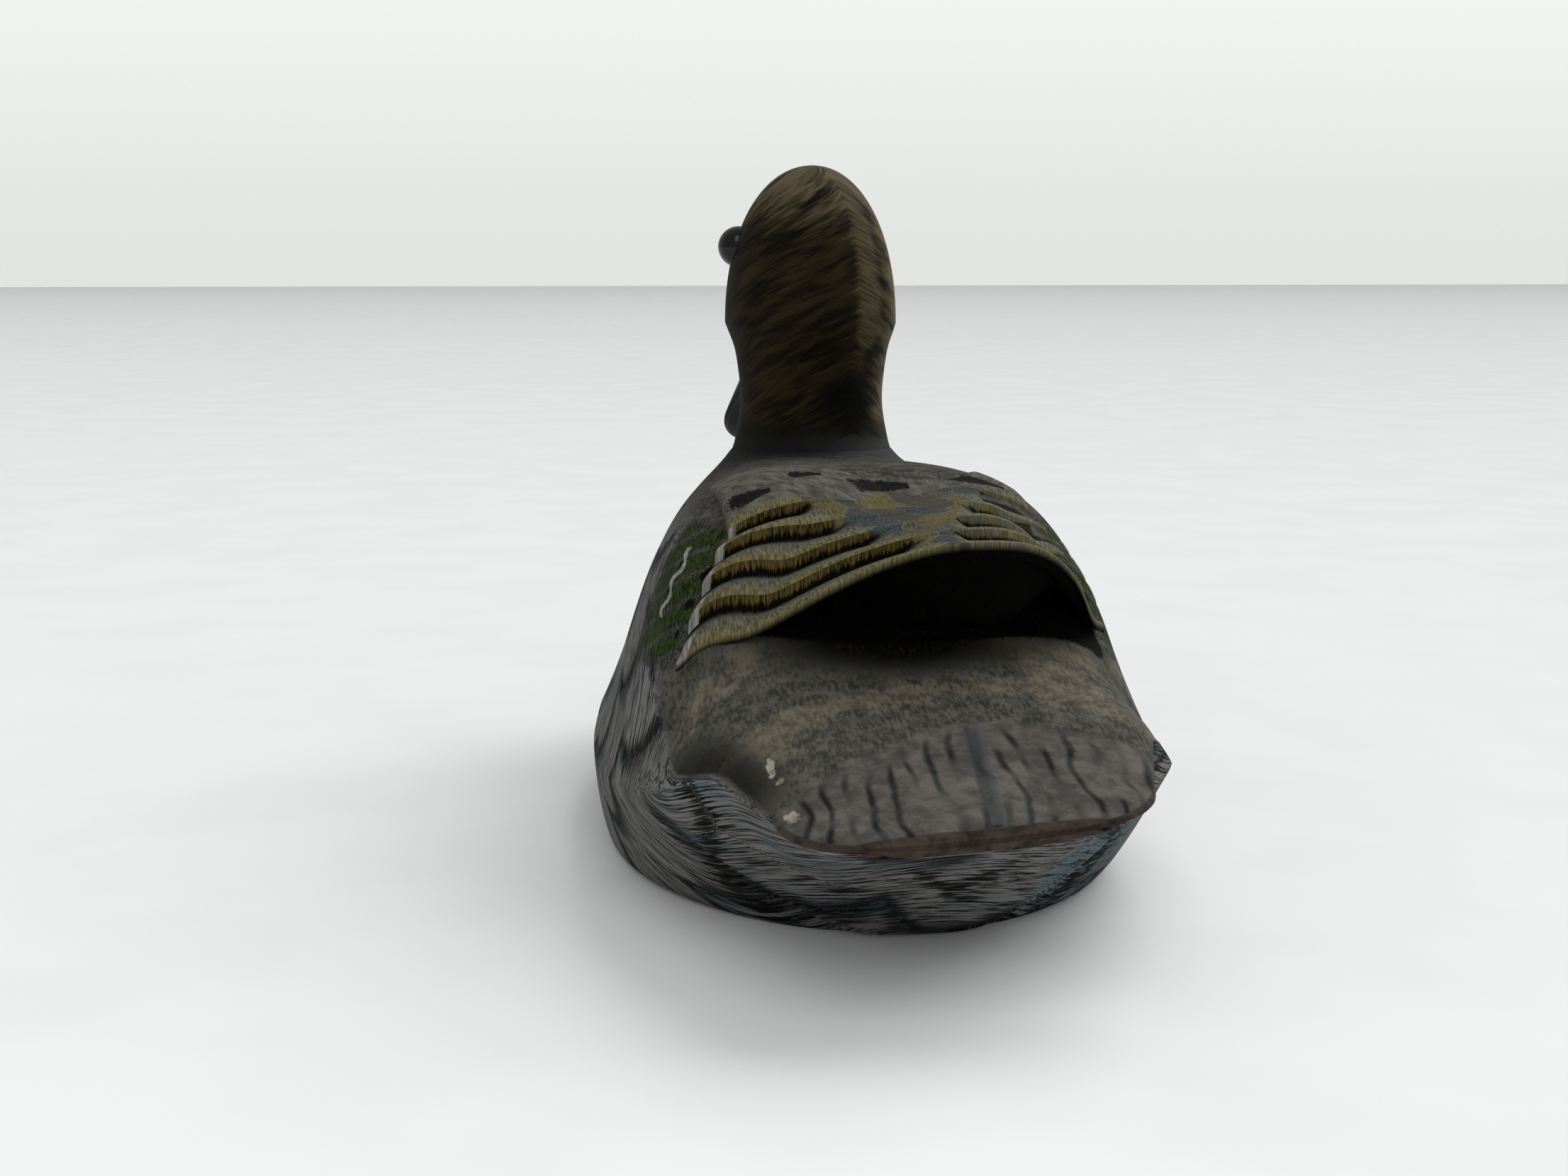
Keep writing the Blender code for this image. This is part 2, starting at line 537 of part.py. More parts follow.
eye_ring = head_ring(EYE_HEIGHT)
front = eye_ring[: HEAD_POINTS // 4 + 1]
cheek = np.interp(EYE_FORWARD, front[:, 1], front[:, 0])
eye_side = cheek + EYE_PROUD - EYE_DIAMETER / 2
pin_side = eye_side - EYE_DIAMETER / 2 - GLUE_GAP - EYE_PIN_LENGTH / 2
for side, sign in (("left", -1), ("right", 1)):
    eye_place = heading @ Matrix.Translation((sign * eye_side, EYE_FORWARD, EYE_HEIGHT))
    add_part(f"{side}_eye", ball(EYE_DIAMETER), eye_glass, eye_place)
    combine(head, add_cutter(f"{side} eye socket", ball(EYE_DIAMETER + 2 * GLUE_GAP), eye_place))
    pin_place = (heading @ Matrix.Translation((sign * pin_side, EYE_FORWARD, EYE_HEIGHT))
                 @ Matrix.Rotation(math.pi / 2, 4, "Y"))
    add_part(f"{side}_eye_pin", bar(EYE_PIN_DIAMETER, EYE_PIN_LENGTH), shank_wire, pin_place)
    pin_bore = bar(EYE_PIN_DIAMETER + 2 * GLUE_GAP, EYE_PIN_LENGTH + 4 * GLUE_GAP)
    combine(head, add_cutter(f"{side} pin bore", pin_bore, pin_place))

# Pegs
pegs = (
    ("neck_dowel", NECK_DOWEL_DIAMETER, NECK_DOWEL_LENGTH, NECK_FORWARD, NECK_JOINT, (head, body_block)),
    ("front_body_dowel", BODY_DOWEL_DIAMETER, BODY_DOWEL_LENGTH, FRONT_DOWEL_FORWARD, SEAM_HEIGHT,
     (body_block, bottom_board)),
    ("rear_body_dowel", BODY_DOWEL_DIAMETER, BODY_DOWEL_LENGTH, -REAR_DOWEL_BACK, SEAM_HEIGHT,
     (body_block, bottom_board)),
)
for name, diameter, length, forward, height, joined in pegs:
    peg_place = Matrix.Translation((0, forward, height))
    add_part(name, bar(diameter, length), peg_wood, peg_place)
    bore = add_cutter(f"{name} bore", bar(diameter + 2 * GLUE_GAP, length + 2 * GLUE_GAP), peg_place)
    for piece in joined:
        combine(piece, bore)
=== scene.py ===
"""Carved and painted duck decoy on a pale table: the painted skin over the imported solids.

Shapes are worked out in millimetres, with the duck facing +Y and its left side at -X.
"""

import math

import bpy
import numpy as np
from mathutils import Matrix, Vector


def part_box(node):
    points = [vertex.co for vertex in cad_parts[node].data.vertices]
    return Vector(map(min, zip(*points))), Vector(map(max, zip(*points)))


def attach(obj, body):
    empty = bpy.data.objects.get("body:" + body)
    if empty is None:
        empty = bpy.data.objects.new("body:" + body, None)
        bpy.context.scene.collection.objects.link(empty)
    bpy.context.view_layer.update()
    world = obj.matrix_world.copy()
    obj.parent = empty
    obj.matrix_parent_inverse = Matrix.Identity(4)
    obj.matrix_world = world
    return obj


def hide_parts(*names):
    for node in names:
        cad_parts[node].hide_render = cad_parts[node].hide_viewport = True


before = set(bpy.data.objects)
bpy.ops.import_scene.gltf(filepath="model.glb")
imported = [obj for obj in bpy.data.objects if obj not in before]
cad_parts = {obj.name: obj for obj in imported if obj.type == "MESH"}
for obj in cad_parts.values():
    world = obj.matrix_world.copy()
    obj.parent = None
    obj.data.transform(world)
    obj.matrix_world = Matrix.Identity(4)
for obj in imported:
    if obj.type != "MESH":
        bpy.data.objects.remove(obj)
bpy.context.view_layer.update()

MM = 0.001


def node_span(name):
    """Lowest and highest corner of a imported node, in millimetres."""
    low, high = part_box(name)
    return np.array(low) / MM, np.array(high) / MM


# Body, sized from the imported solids
body_low, body_high = node_span("body_block")
head_low, head_high = node_span("head")
TAIL_Y = body_low[1]
BREAST_Y = body_high[1]
BODY_LENGTH = BREAST_Y - TAIL_Y
HALF_WIDTH = node_span("bottom_board")[1][0]
HALF_BASE = 0.926 * HALF_WIDTH
BACK_HEIGHT = 53
FLANK_HEIGHT = 13
TAIL_OVERHANG = 38
BREAST_OVERHANG = 21
BREAST_HEIGHT = 20
BREAST_ROUNDING = 19
STEP_FORWARD = 43
STEP_LENGTH = 14
STEP_CURVE = 4
RUMP_HEIGHT = 35
TAIL_WIDTH = 41
TAIL_HEIGHT = 23.2
TAIL_THICKNESS = 2.2
TAIL_EDGE_ROUNDING = 1.0
TAIL_ROUNDING = 10
TAIL_BOW = 1
TAIL_TILT = math.radians(4)
BASE_REAR_Y = TAIL_Y + TAIL_OVERHANG
BASE_FRONT_Y = BREAST_Y - BREAST_OVERHANG
STEP_Y = TAIL_Y + STEP_FORWARD
MID_Y = 0.02 * BODY_LENGTH

# Folded wings
WING_SPAN = 56
WING_FRONT_SPAN = 41
WING_CORNER_Y = TAIL_Y + 51.5
WING_CORNER_HEIGHT = 33
WING_TILT = 2
WING_TIP_Y = TAIL_Y + 32.5
WING_REACH = 35
ARCH_HEIGHT = 48.8
ARCH_OFFSET = 6
WING_LIFT = 0.8
WING_LIP = 1.0
WING_SINK = 1.6
HOLLOW_DEPTH = 15
FEATHERS = 4
FEATHER_FRONT_Y = TAIL_Y + 59
FEATHER_SLANT = 7.5
FEATHER_RISE = 0.4
FEATHER_DROP = 1.5
FEATHER_GROOVE = 0.4
TREAD_SHARE = 0.92
RISER_SHARE = 0.06

# Neck and head
NECK_Y = BREAST_Y - 37.5
NECK_JOINT = head_low[2]
NECK_FOOT_WIDTH = 24.4
NECK_WIDTH = 22.6
NECK_FLARE = 2
NECK_RUNOUT = -1
HEAD_HEIGHT = head_high[2]
CHEEK_HEIGHT = 71.5
HEAD_WIDTH = 26.3
HEAD_BACK = 14.5
HEAD_FRONT = 19
HEAD_TURN = math.radians(11)
CROWN_ROUNDING = 2.1

# Bill
BILL_LENGTH = 32
BILL_WIDTH = 10.4
BILL_DEPTH = 10.5
BILL_TIP_DEPTH = 3
BILL_DROP = math.radians(38)
BILL_ROOT_FORWARD = 11
BILL_ROOT_HEIGHT = 70

# Fineness of the skins
BODY_STATIONS = 290
BREAST_RINGS = 20
TOP_STEPS = 64
SIDE_STEPS = 40
FLAT_STEPS = TOP_STEPS - SIDE_STEPS
TAIL_EDGE_RINGS = 6
SURFACE_COLUMNS = 160
SURFACE_ROWS = 420
WING_COLUMNS = 200
SHOULDER_ROWS = 44
HEAD_POINTS = 160
HEAD_RINGS = 110
BILL_POINTS = 64
BILL_RINGS = 60
EYE_STEPS = 48

# Painting
MATT = 0.05
FAN_FRONT_Y = -57
FAN_ROOT_Y = -56
FAN_MIDDLE = 4
FAN_STROKE_SPACING = 2.5
SHAFT_WIDTH = 1.2
BANDS_MIDDLE = 1.4
BANDS_HEIGHT = 9.7
SECOND_BANDS_MIDDLE = -13
WHITE_BAR_Y = -25
HOLLOW_EDGE_Y = -39.3
PARTING_TURN = math.radians(12)

# Photograph's camera
PHOTO_WIDTH = 2212
FOCAL_PIXELS = 3000
SENSOR_WIDTH = 36
CAMERA_PLACE = (-48.4, -291.5, 82.0)
CAMERA_YAW = 0.130
CAMERA_PITCH = 0.155


def smooth_line(*points):
    """A curve through points with rising x that never swings past them."""
    x, y = (np.array(column, float) for column in zip(*points))
    run = np.diff(x)
    slope = np.diff(y) / run
    lean = np.concatenate([slope[:1], np.zeros(len(x) - 2), slope[-1:]])
    for i in range(1, len(x) - 1):
        if slope[i - 1] * slope[i] > 0:
            lean[i] = 2 * slope[i - 1] * slope[i] / (slope[i - 1] + slope[i])

    def at(place):
        place = np.clip(place, x[0], x[-1])
        i = np.clip(np.searchsorted(x, place) - 1, 0, len(run) - 1)
        t = (place - x[i]) / run[i]
        rise = t * t * (3 - 2 * t)
        bend = lean[i] * t * (1 - t) ** 2 - lean[i + 1] * t * t * (1 - t)
        return y[i] * (1 - rise) + y[i + 1] * rise + bend * run[i]

    return at


def fade(place, start, end):
    """0 at start, 1 at end, with soft ends."""
    t = np.clip((place - start) / (end - start), 0, 1)
    return t * t * (3 - 2 * t)


def bell(place, middle, reach):
    """1 at the middle, 0 further than reach from it."""
    return 1 - fade(np.abs(place - middle), 0, reach)


# Body skin

TAIL_UNDERSIDE = TAIL_HEIGHT - TAIL_THICKNESS

plan_line = smooth_line(
    (TAIL_Y, 0.3 * TAIL_WIDTH),
    (TAIL_Y + 0.11 * TAIL_ROUNDING, 0.37 * TAIL_WIDTH),
    (TAIL_Y + 0.3 * TAIL_ROUNDING, 0.44 * TAIL_WIDTH),
    (TAIL_Y + 0.55 * TAIL_ROUNDING, 0.485 * TAIL_WIDTH),
    (TAIL_Y + TAIL_ROUNDING, 0.515 * TAIL_WIDTH),
    (TAIL_Y + 0.6 * TAIL_OVERHANG, 0.4 * TAIL_WIDTH + 0.235 * HALF_WIDTH),
    (BASE_REAR_Y, 0.87 * HALF_WIDTH),
    (0.5 * (BASE_REAR_Y + MID_Y), 0.985 * HALF_WIDTH),
    (MID_Y, HALF_WIDTH),
    (MID_Y + 0.4 * (BASE_FRONT_Y - MID_Y), 0.95 * HALF_WIDTH),
    (MID_Y + 0.78 * (BASE_FRONT_Y - MID_Y), 0.79 * HALF_WIDTH),
    (BASE_FRONT_Y, 0.58 * HALF_WIDTH),
    (BREAST_Y, 0.36 * HALF_WIDTH),
)
back_line = smooth_line(
    (TAIL_Y, TAIL_HEIGHT),
    (TAIL_Y + 0.5 * STEP_FORWARD, 0.55 * TAIL_HEIGHT + 0.45 * RUMP_HEIGHT),
    (STEP_Y, RUMP_HEIGHT),
    (STEP_Y + STEP_LENGTH, 0.91 * BACK_HEIGHT),
    (STEP_Y + 2.4 * STEP_LENGTH, BACK_HEIGHT),
    (NECK_Y - NECK_FOOT_WIDTH, 0.975 * BACK_HEIGHT),
    (NECK_Y, 0.95 * BACK_HEIGHT),
    (BASE_FRONT_Y, 0.86 * BACK_HEIGHT),
    (BREAST_Y, 0.68 * BACK_HEIGHT),
)
flank_line = smooth_line(
    (TAIL_Y, 0.5 * (TAIL_HEIGHT + TAIL_UNDERSIDE)),
    (TAIL_Y + 0.6 * TAIL_OVERHANG, 0.45 * TAIL_HEIGHT + 0.4 * RUMP_HEIGHT),
    (BASE_REAR_Y, 0.55 * RUMP_HEIGHT),
    (0.5 * (BASE_REAR_Y + MID_Y), 1.15 * FLANK_HEIGHT),
    (MID_Y, FLANK_HEIGHT),
    (BASE_FRONT_Y, 0.3 * FLANK_HEIGHT + 0.7 * BREAST_HEIGHT),
    (BREAST_Y, BREAST_HEIGHT),
)
keel_line = smooth_line(
    (TAIL_Y, TAIL_UNDERSIDE),
    (TAIL_Y + 0.3 * TAIL_OVERHANG, 0.83 * TAIL_UNDERSIDE),
    (TAIL_Y + 0.62 * TAIL_OVERHANG, 0.47 * TAIL_UNDERSIDE),
    (TAIL_Y + 0.84 * TAIL_OVERHANG, 0.14 * TAIL_UNDERSIDE),
    (BASE_REAR_Y, 0),
    (BASE_FRONT_Y, 0),
    (BASE_FRONT_Y + 0.4 * BREAST_OVERHANG, 0.1 * BREAST_HEIGHT),
    (BREAST_Y, 0.4 * BREAST_HEIGHT),
)


def base_line(y):
    """Half the width of the flat underside, an oval drawn out to a narrow strip under tail and breast."""
    reach = MID_Y - BASE_REAR_Y if y < MID_Y else BASE_FRONT_Y - MID_Y
    oval = HALF_BASE * math.sqrt(1 - min(abs(y - MID_Y) / reach, 1) ** 2)
    return max(oval, 0.15 * plan_line(y))


def half_section(y):
    """The right half of the body's section at y, from the middle of the back to the middle of the base."""
    width, top, flank = plan_line(y), back_line(y), flank_line(y)
    base, keel = base_line(y), keel_line(y)
    tail = fade(y, STEP_Y, TAIL_Y + 0.4 * TAIL_OVERHANG)
    winged = fade(y, 0.25 * BODY_LENGTH, -0.1 * BODY_LENGTH)
    rise = top - flank
    corners = (
        (0, top),
        (width * (0.77 + 0.07 * winged + 0.06 * tail), top + rise * 0.06 * (1 - tail)),
        (width * (0.69 + 0.1 * winged + 0.21 * tail), flank + rise * (0.6 + 0.15 * tail)),
        (width, flank),
    )
    t = np.linspace(0, 1, TOP_STEPS + 1)
    weights = ((1 - t) ** 3, 3 * t * (1 - t) ** 2, 3 * t * t * (1 - t), t ** 3)
    x = sum(w * corner[0] for w, corner in zip(weights, corners))
    z = sum(w * corner[1] for w, corner in zip(weights, corners))
    down = np.linspace(1, 0, SIDE_STEPS + 1)[1:]
    inward = np.linspace(1, 0, FLAT_STEPS + 1)[1:]
    bulge = 1.25 + 0.35 * fade(y, BASE_REAR_Y, MID_Y)
    side = base + (width - base) * (1 - (1 - down) ** bulge) ** (1 / bulge)
    lower_x = np.concatenate([side, base * inward])
    lower_z = np.concatenate([keel + (flank - keel) * down, np.full(FLAT_STEPS, keel)])
    # Towards the tail the section closes to a leaf, with each lower point under an upper one
    leaf_x = x[-2::-1]
    leaf_z = flank - (flank - keel) * (1 - (leaf_x / width) ** 4)
    lower_x = lower_x + (leaf_x - lower_x) * tail
    lower_z = lower_z + (leaf_z - lower_z) * tail
    return np.concatenate([x, lower_x]), np.concatenate([z, lower_z])


def upper_surface():
    """Heights of the body's upper surface on a fine grid, as a function of place."""
    side = np.linspace(0, HALF_WIDTH, SURFACE_COLUMNS)
    station = np.linspace(TAIL_Y, BREAST_Y, SURFACE_ROWS)
    heights = []
    for y in station:
        line_x, line_z = half_section(y)
        heights.append(np.interp(side, line_x[:TOP_STEPS + 1], line_z[:TOP_STEPS + 1]))
    heights = np.array(heights)

    def at(x, y):
        y = y - step_curve(x, y)
        column = np.clip(np.abs(x) / side[1], 0, len(side) - 1.001)
        row = np.clip((y - TAIL_Y) / (station[1] - station[0]), 0, len(station) - 1.001)
        c, r = column.astype(int), row.astype(int)
        u, v = column - c, row - r
        return ((heights[r, c] * (1 - u) + heights[r, c + 1] * u) * (1 - v)
                + (heights[r + 1, c] * (1 - u) + heights[r + 1, c + 1] * u) * v)

    return at


body_top = upper_surface()


def body_ring(y):
    """Body section, from its right edge under the base and over the back, rounded at tail and breast."""
    x, z = half_section(y)
    x = np.roll(np.concatenate([x, -x[-2:0:-1]]), -TOP_STEPS)
    z = np.roll(np.concatenate([z, z[-2:0:-1]]), -TOP_STEPS)
    closing = np.clip((y - BREAST_Y + BREAST_ROUNDING) / BREAST_ROUNDING, 0, 0.999)
    size = math.sqrt(1 - closing ** 2)
    x, z = x * size, BREAST_HEIGHT + (z - BREAST_HEIGHT) * size
    from_edge = np.clip((TAIL_Y + TAIL_EDGE_ROUNDING - y) / TAIL_EDGE_ROUNDING, 0, 0.97)
    middle = (z + np.roll(z[::-1], 1)) / 2
    z = middle + (z - middle) * math.sqrt(1 - from_edge ** 2)
    return np.stack([x, np.full(len(x), y), z], 1)


def step_curve(x, y):
    """How far the step under the wing tips lies further forward at x."""
    behind = fade(y, TAIL_Y + 0.5 * TAIL_OVERHANG, STEP_Y)
    ahead = fade(y, STEP_Y + STEP_LENGTH, STEP_Y + 3 * STEP_LENGTH)
    return STEP_CURVE * (x / (WING_SPAN / 2)) ** 2 * behind * (1 - ahead)


def carve(points):
    """The step's curve, the tail's bow and tilt and the flare round the neck."""
    x, y, z = points.T
    y = y + step_curve(x, y) * fade(z, 0.5 * RUMP_HEIGHT, 0.9 * RUMP_HEIGHT)
    towards_tail = fade(y, BASE_REAR_Y, TAIL_Y)
    tail_side = np.abs(x) / (TAIL_WIDTH / 2)
    y = y + TAIL_BOW * np.clip(tail_side, 0, 1.2) ** 2.2 * towards_tail
    high = fade(z, 0.2 * TAIL_HEIGHT, 0.8 * TAIL_HEIGHT)
    tilt = fade(y, STEP_Y + STEP_LENGTH, TAIL_Y + 0.3 * TAIL_OVERHANG)
    z = z + x * math.tan(TAIL_TILT) * tilt * high
    from_neck = np.hypot(x, y - NECK_Y) - NECK_FOOT_WIDTH / 2
    flare = np.exp(-np.clip(from_neck, 0, None) / NECK_FLARE)
    upper = fade(z, 0.6 * BACK_HEIGHT, 0.8 * BACK_HEIGHT)
    z = z + np.clip(NECK_JOINT + NECK_RUNOUT - z, 0, None) * flare * upper
    return np.stack([x, y, z], 1)


def scales(along, across, length, width, depth):
    """Rounded feathers in rows, tips towards rising along, each row over the next.

    Gives the distance to the feather's own edge, the distance from the edge that covers its root,
    its place across from -1 to 1 and a number of its own.
    """
    def tip(row):
        place = across / width + 0.5 * (row % 2)
        column = np.floor(place)
        side = 2 * (place - column) - 1
        return (row + 1) * length - depth * np.abs(side) ** 2.2, side, column

    row = np.floor(along / length)
    first, first_side, first_column = tip(row)
    second, second_side, second_column = tip(row + 1)
    before = tip(row - 1)[0]
    own = along < first
    edge = np.where(own, first - along, second - along)
    root = np.where(own, along - before, along - first)
    side = np.where(own, first_side, second_side)
    number = np.where(own, row * 7.31 + first_column * 3.17, (row + 1) * 7.31 + second_column * 3.17)
    return edge, root, side, number % 1


def grid_normals(points):
    """Outward normals on a grid of points whose second index runs round."""
    along = np.gradient(points, axis=0)
    round_ = np.roll(points, -1, axis=1) - np.roll(points, 1, axis=1)
    normals = np.cross(round_, along)
    return normals / np.maximum(np.linalg.norm(normals, axis=2, keepdims=True), 1e-9)


def add_mesh(name, points, faces, material, attributes):
    """A smooth piece from points in millimetres, with up to three values for each point in each attribute."""
    mesh = bpy.data.meshes.new(name)
    mesh.from_pydata((np.reshape(points, (-1, 3)) * MM).tolist(), [], faces)
    mesh.shade_smooth()
    for key, values in attributes.items():
        vectors = np.zeros((values[0].size, 3), np.float32)
        for i, value in enumerate(values):
            vectors[:, i] = value.ravel()
        layer = mesh.attributes.new(key, "FLOAT_VECTOR", "POINT")
        layer.data.foreach_set("vector", vectors.ravel())
    mesh.materials.append(material)
    piece = bpy.data.objects.new(name, mesh)
    bpy.context.scene.collection.objects.link(piece)
    return piece


def ring_faces(rows, count, flip=False):
    """Faces between rings, with strip caps on both ends."""
    faces = []
    for r in range(rows - 1):
        for i in range(count):
            j = (i + 1) % count
            faces.append((r * count + i, r * count + j, (r + 1) * count + j, (r + 1) * count + i))
    for start, turned in ((0, True), ((rows - 1) * count, False)):
        for i in range(count // 2):
            corners = (i, i + 1, count - i - 1, (count - i) % count)
            cap = list(dict.fromkeys(start + c for c in corners))
            faces.append(cap[::-1] if turned else cap)
    return [face[::-1] for face in faces] if flip else faces


def arch_rise(x):
    """Share of the arch's height along the rear edge of the wings, 0 at the corners and 1 at the top."""
    left = np.clip((ARCH_OFFSET - x) / (WING_SPAN / 2 + ARCH_OFFSET), 0, 1)
    right = np.clip((x - ARCH_OFFSET) / (WING_SPAN / 2 - ARCH_OFFSET), 0, 1) ** 1.6
    return np.clip(np.cos(math.pi / 2 * np.maximum(left, right)), 0, 1) ** 1.5


# Paints


def srgb(red, green, blue):
    """A colour as it is seen, 0 to 255, made linear for a socket."""
    channels = [c / 255 for c in (red, green, blue)]
    return (*[c / 12.92 if c <= 0.04045 else ((c + 0.055) / 1.055) ** 2.4 for c in channels], 1)


class Paint:
    """A socket of a material. Sums and products of sockets add Math nodes."""

    def __init__(self, tree, socket=None):
        self.tree = tree
        self.socket = socket

    def node(self, kind, settings=None, inputs=None, output=0):
        """Any shader node, from its kind, its settings and what its sockets hold."""
        made = self.tree.nodes.new("ShaderNode" + kind)
        for key, value in (settings or {}).items():
            setattr(made, key, value)
        for key, value in (inputs or {}).items():
            if isinstance(value, Paint):
                self.tree.links.new(value.socket, made.inputs[key])
            else:
                made.inputs[key].default_value = value
        return Paint(self.tree, made.outputs[output])

    def math(self, operation, *values):
        return self.node("Math", {"operation": operation}, dict(enumerate(values)))

    def __add__(self, other):
        return self.math("ADD", self, other)

    def __sub__(self, other):
        return self.math("SUBTRACT", self, other)

    def __rsub__(self, other):
        return self.math("SUBTRACT", other, self)

    def __mul__(self, other):
        return self.math("MULTIPLY", self, other)

    __radd__ = __add__
    __rmul__ = __mul__

    def between(self, low, high):
        """0 below low, 1 above high, with soft ends."""
        soft = {"interpolation_type": "SMOOTHSTEP"}
        return self.node("MapRange", soft, {0: self, 1: low, 2: high})

    def swing(self, amount):
        """A noise's swing to both sides of its middle, times amount."""
        return self.math("MULTIPLY", self - 0.5, amount)

    def parts(self, count=3):
        """The first numbers of a vector."""
        return [self.node("SeparateXYZ", {}, {0: self}, i) for i in range(count)]

    def joined(self, x, y, z=0.0):
        return self.node("CombineXYZ", {}, {0: x, 1: y, 2: z})

    def here(self):
        """The place on the piece, in metres."""
        return self.node("TexCoord", {}, {}, 3)

    def noise(self, place, scale, detail=2.0, roughness=0.5):
        """Noise at a place, which can be given by its three numbers."""
        if isinstance(place, tuple):
            place = self.joined(*place)
        inputs = {"Vector": place, "Scale": scale, "Detail": detail, "Roughness": roughness}
        return self.node("TexNoise", {}, inputs)

    def attribute(self, name, count=3):
        """The numbers that a mesh holds for each of its points."""
        return self.node("Attribute", {"attribute_name": name}, {}, 1).parts(count)

    def mixed(self, other, share):
        """This colour painted over with another one."""
        return self.node("Mix", {"data_type": "RGBA"}, {0: share, 6: self, 7: other}, 2)

    def colour(self, first, second, share):
        """Two plain colours, as they are seen, mixed by share."""
        inputs = {0: share, 6: srgb(*first), 7: srgb(*second)}
        return self.node("Mix", {"data_type": "RGBA"}, inputs, 2)


def new_paint(name):
    """An empty material and a Paint to start from."""
    material = bpy.data.materials.new(name)
    material.use_nodes = True
    return material, Paint(material.node_tree)


def feed(material, colour, roughness, relief=None, depth=0.1, shine=0.5, metal=0.0):
    """Links colour, roughness and a relief, depth in millimetres, to the material and returns it."""
    links = material.node_tree.links
    inputs = material.node_tree.nodes["Principled BSDF"].inputs
    links.new(colour.socket, inputs["Base Color"])
    links.new(roughness.socket, inputs["Roughness"])
    inputs["Specular IOR Level"].default_value = shine
    inputs["Metallic"].default_value = metal
    if relief is not None:
        bump = relief.node("Bump", {}, {"Height": relief, "Strength": 1.0, "Distance": depth * MM})
        links.new(bump.socket, inputs["Normal"])
    return material


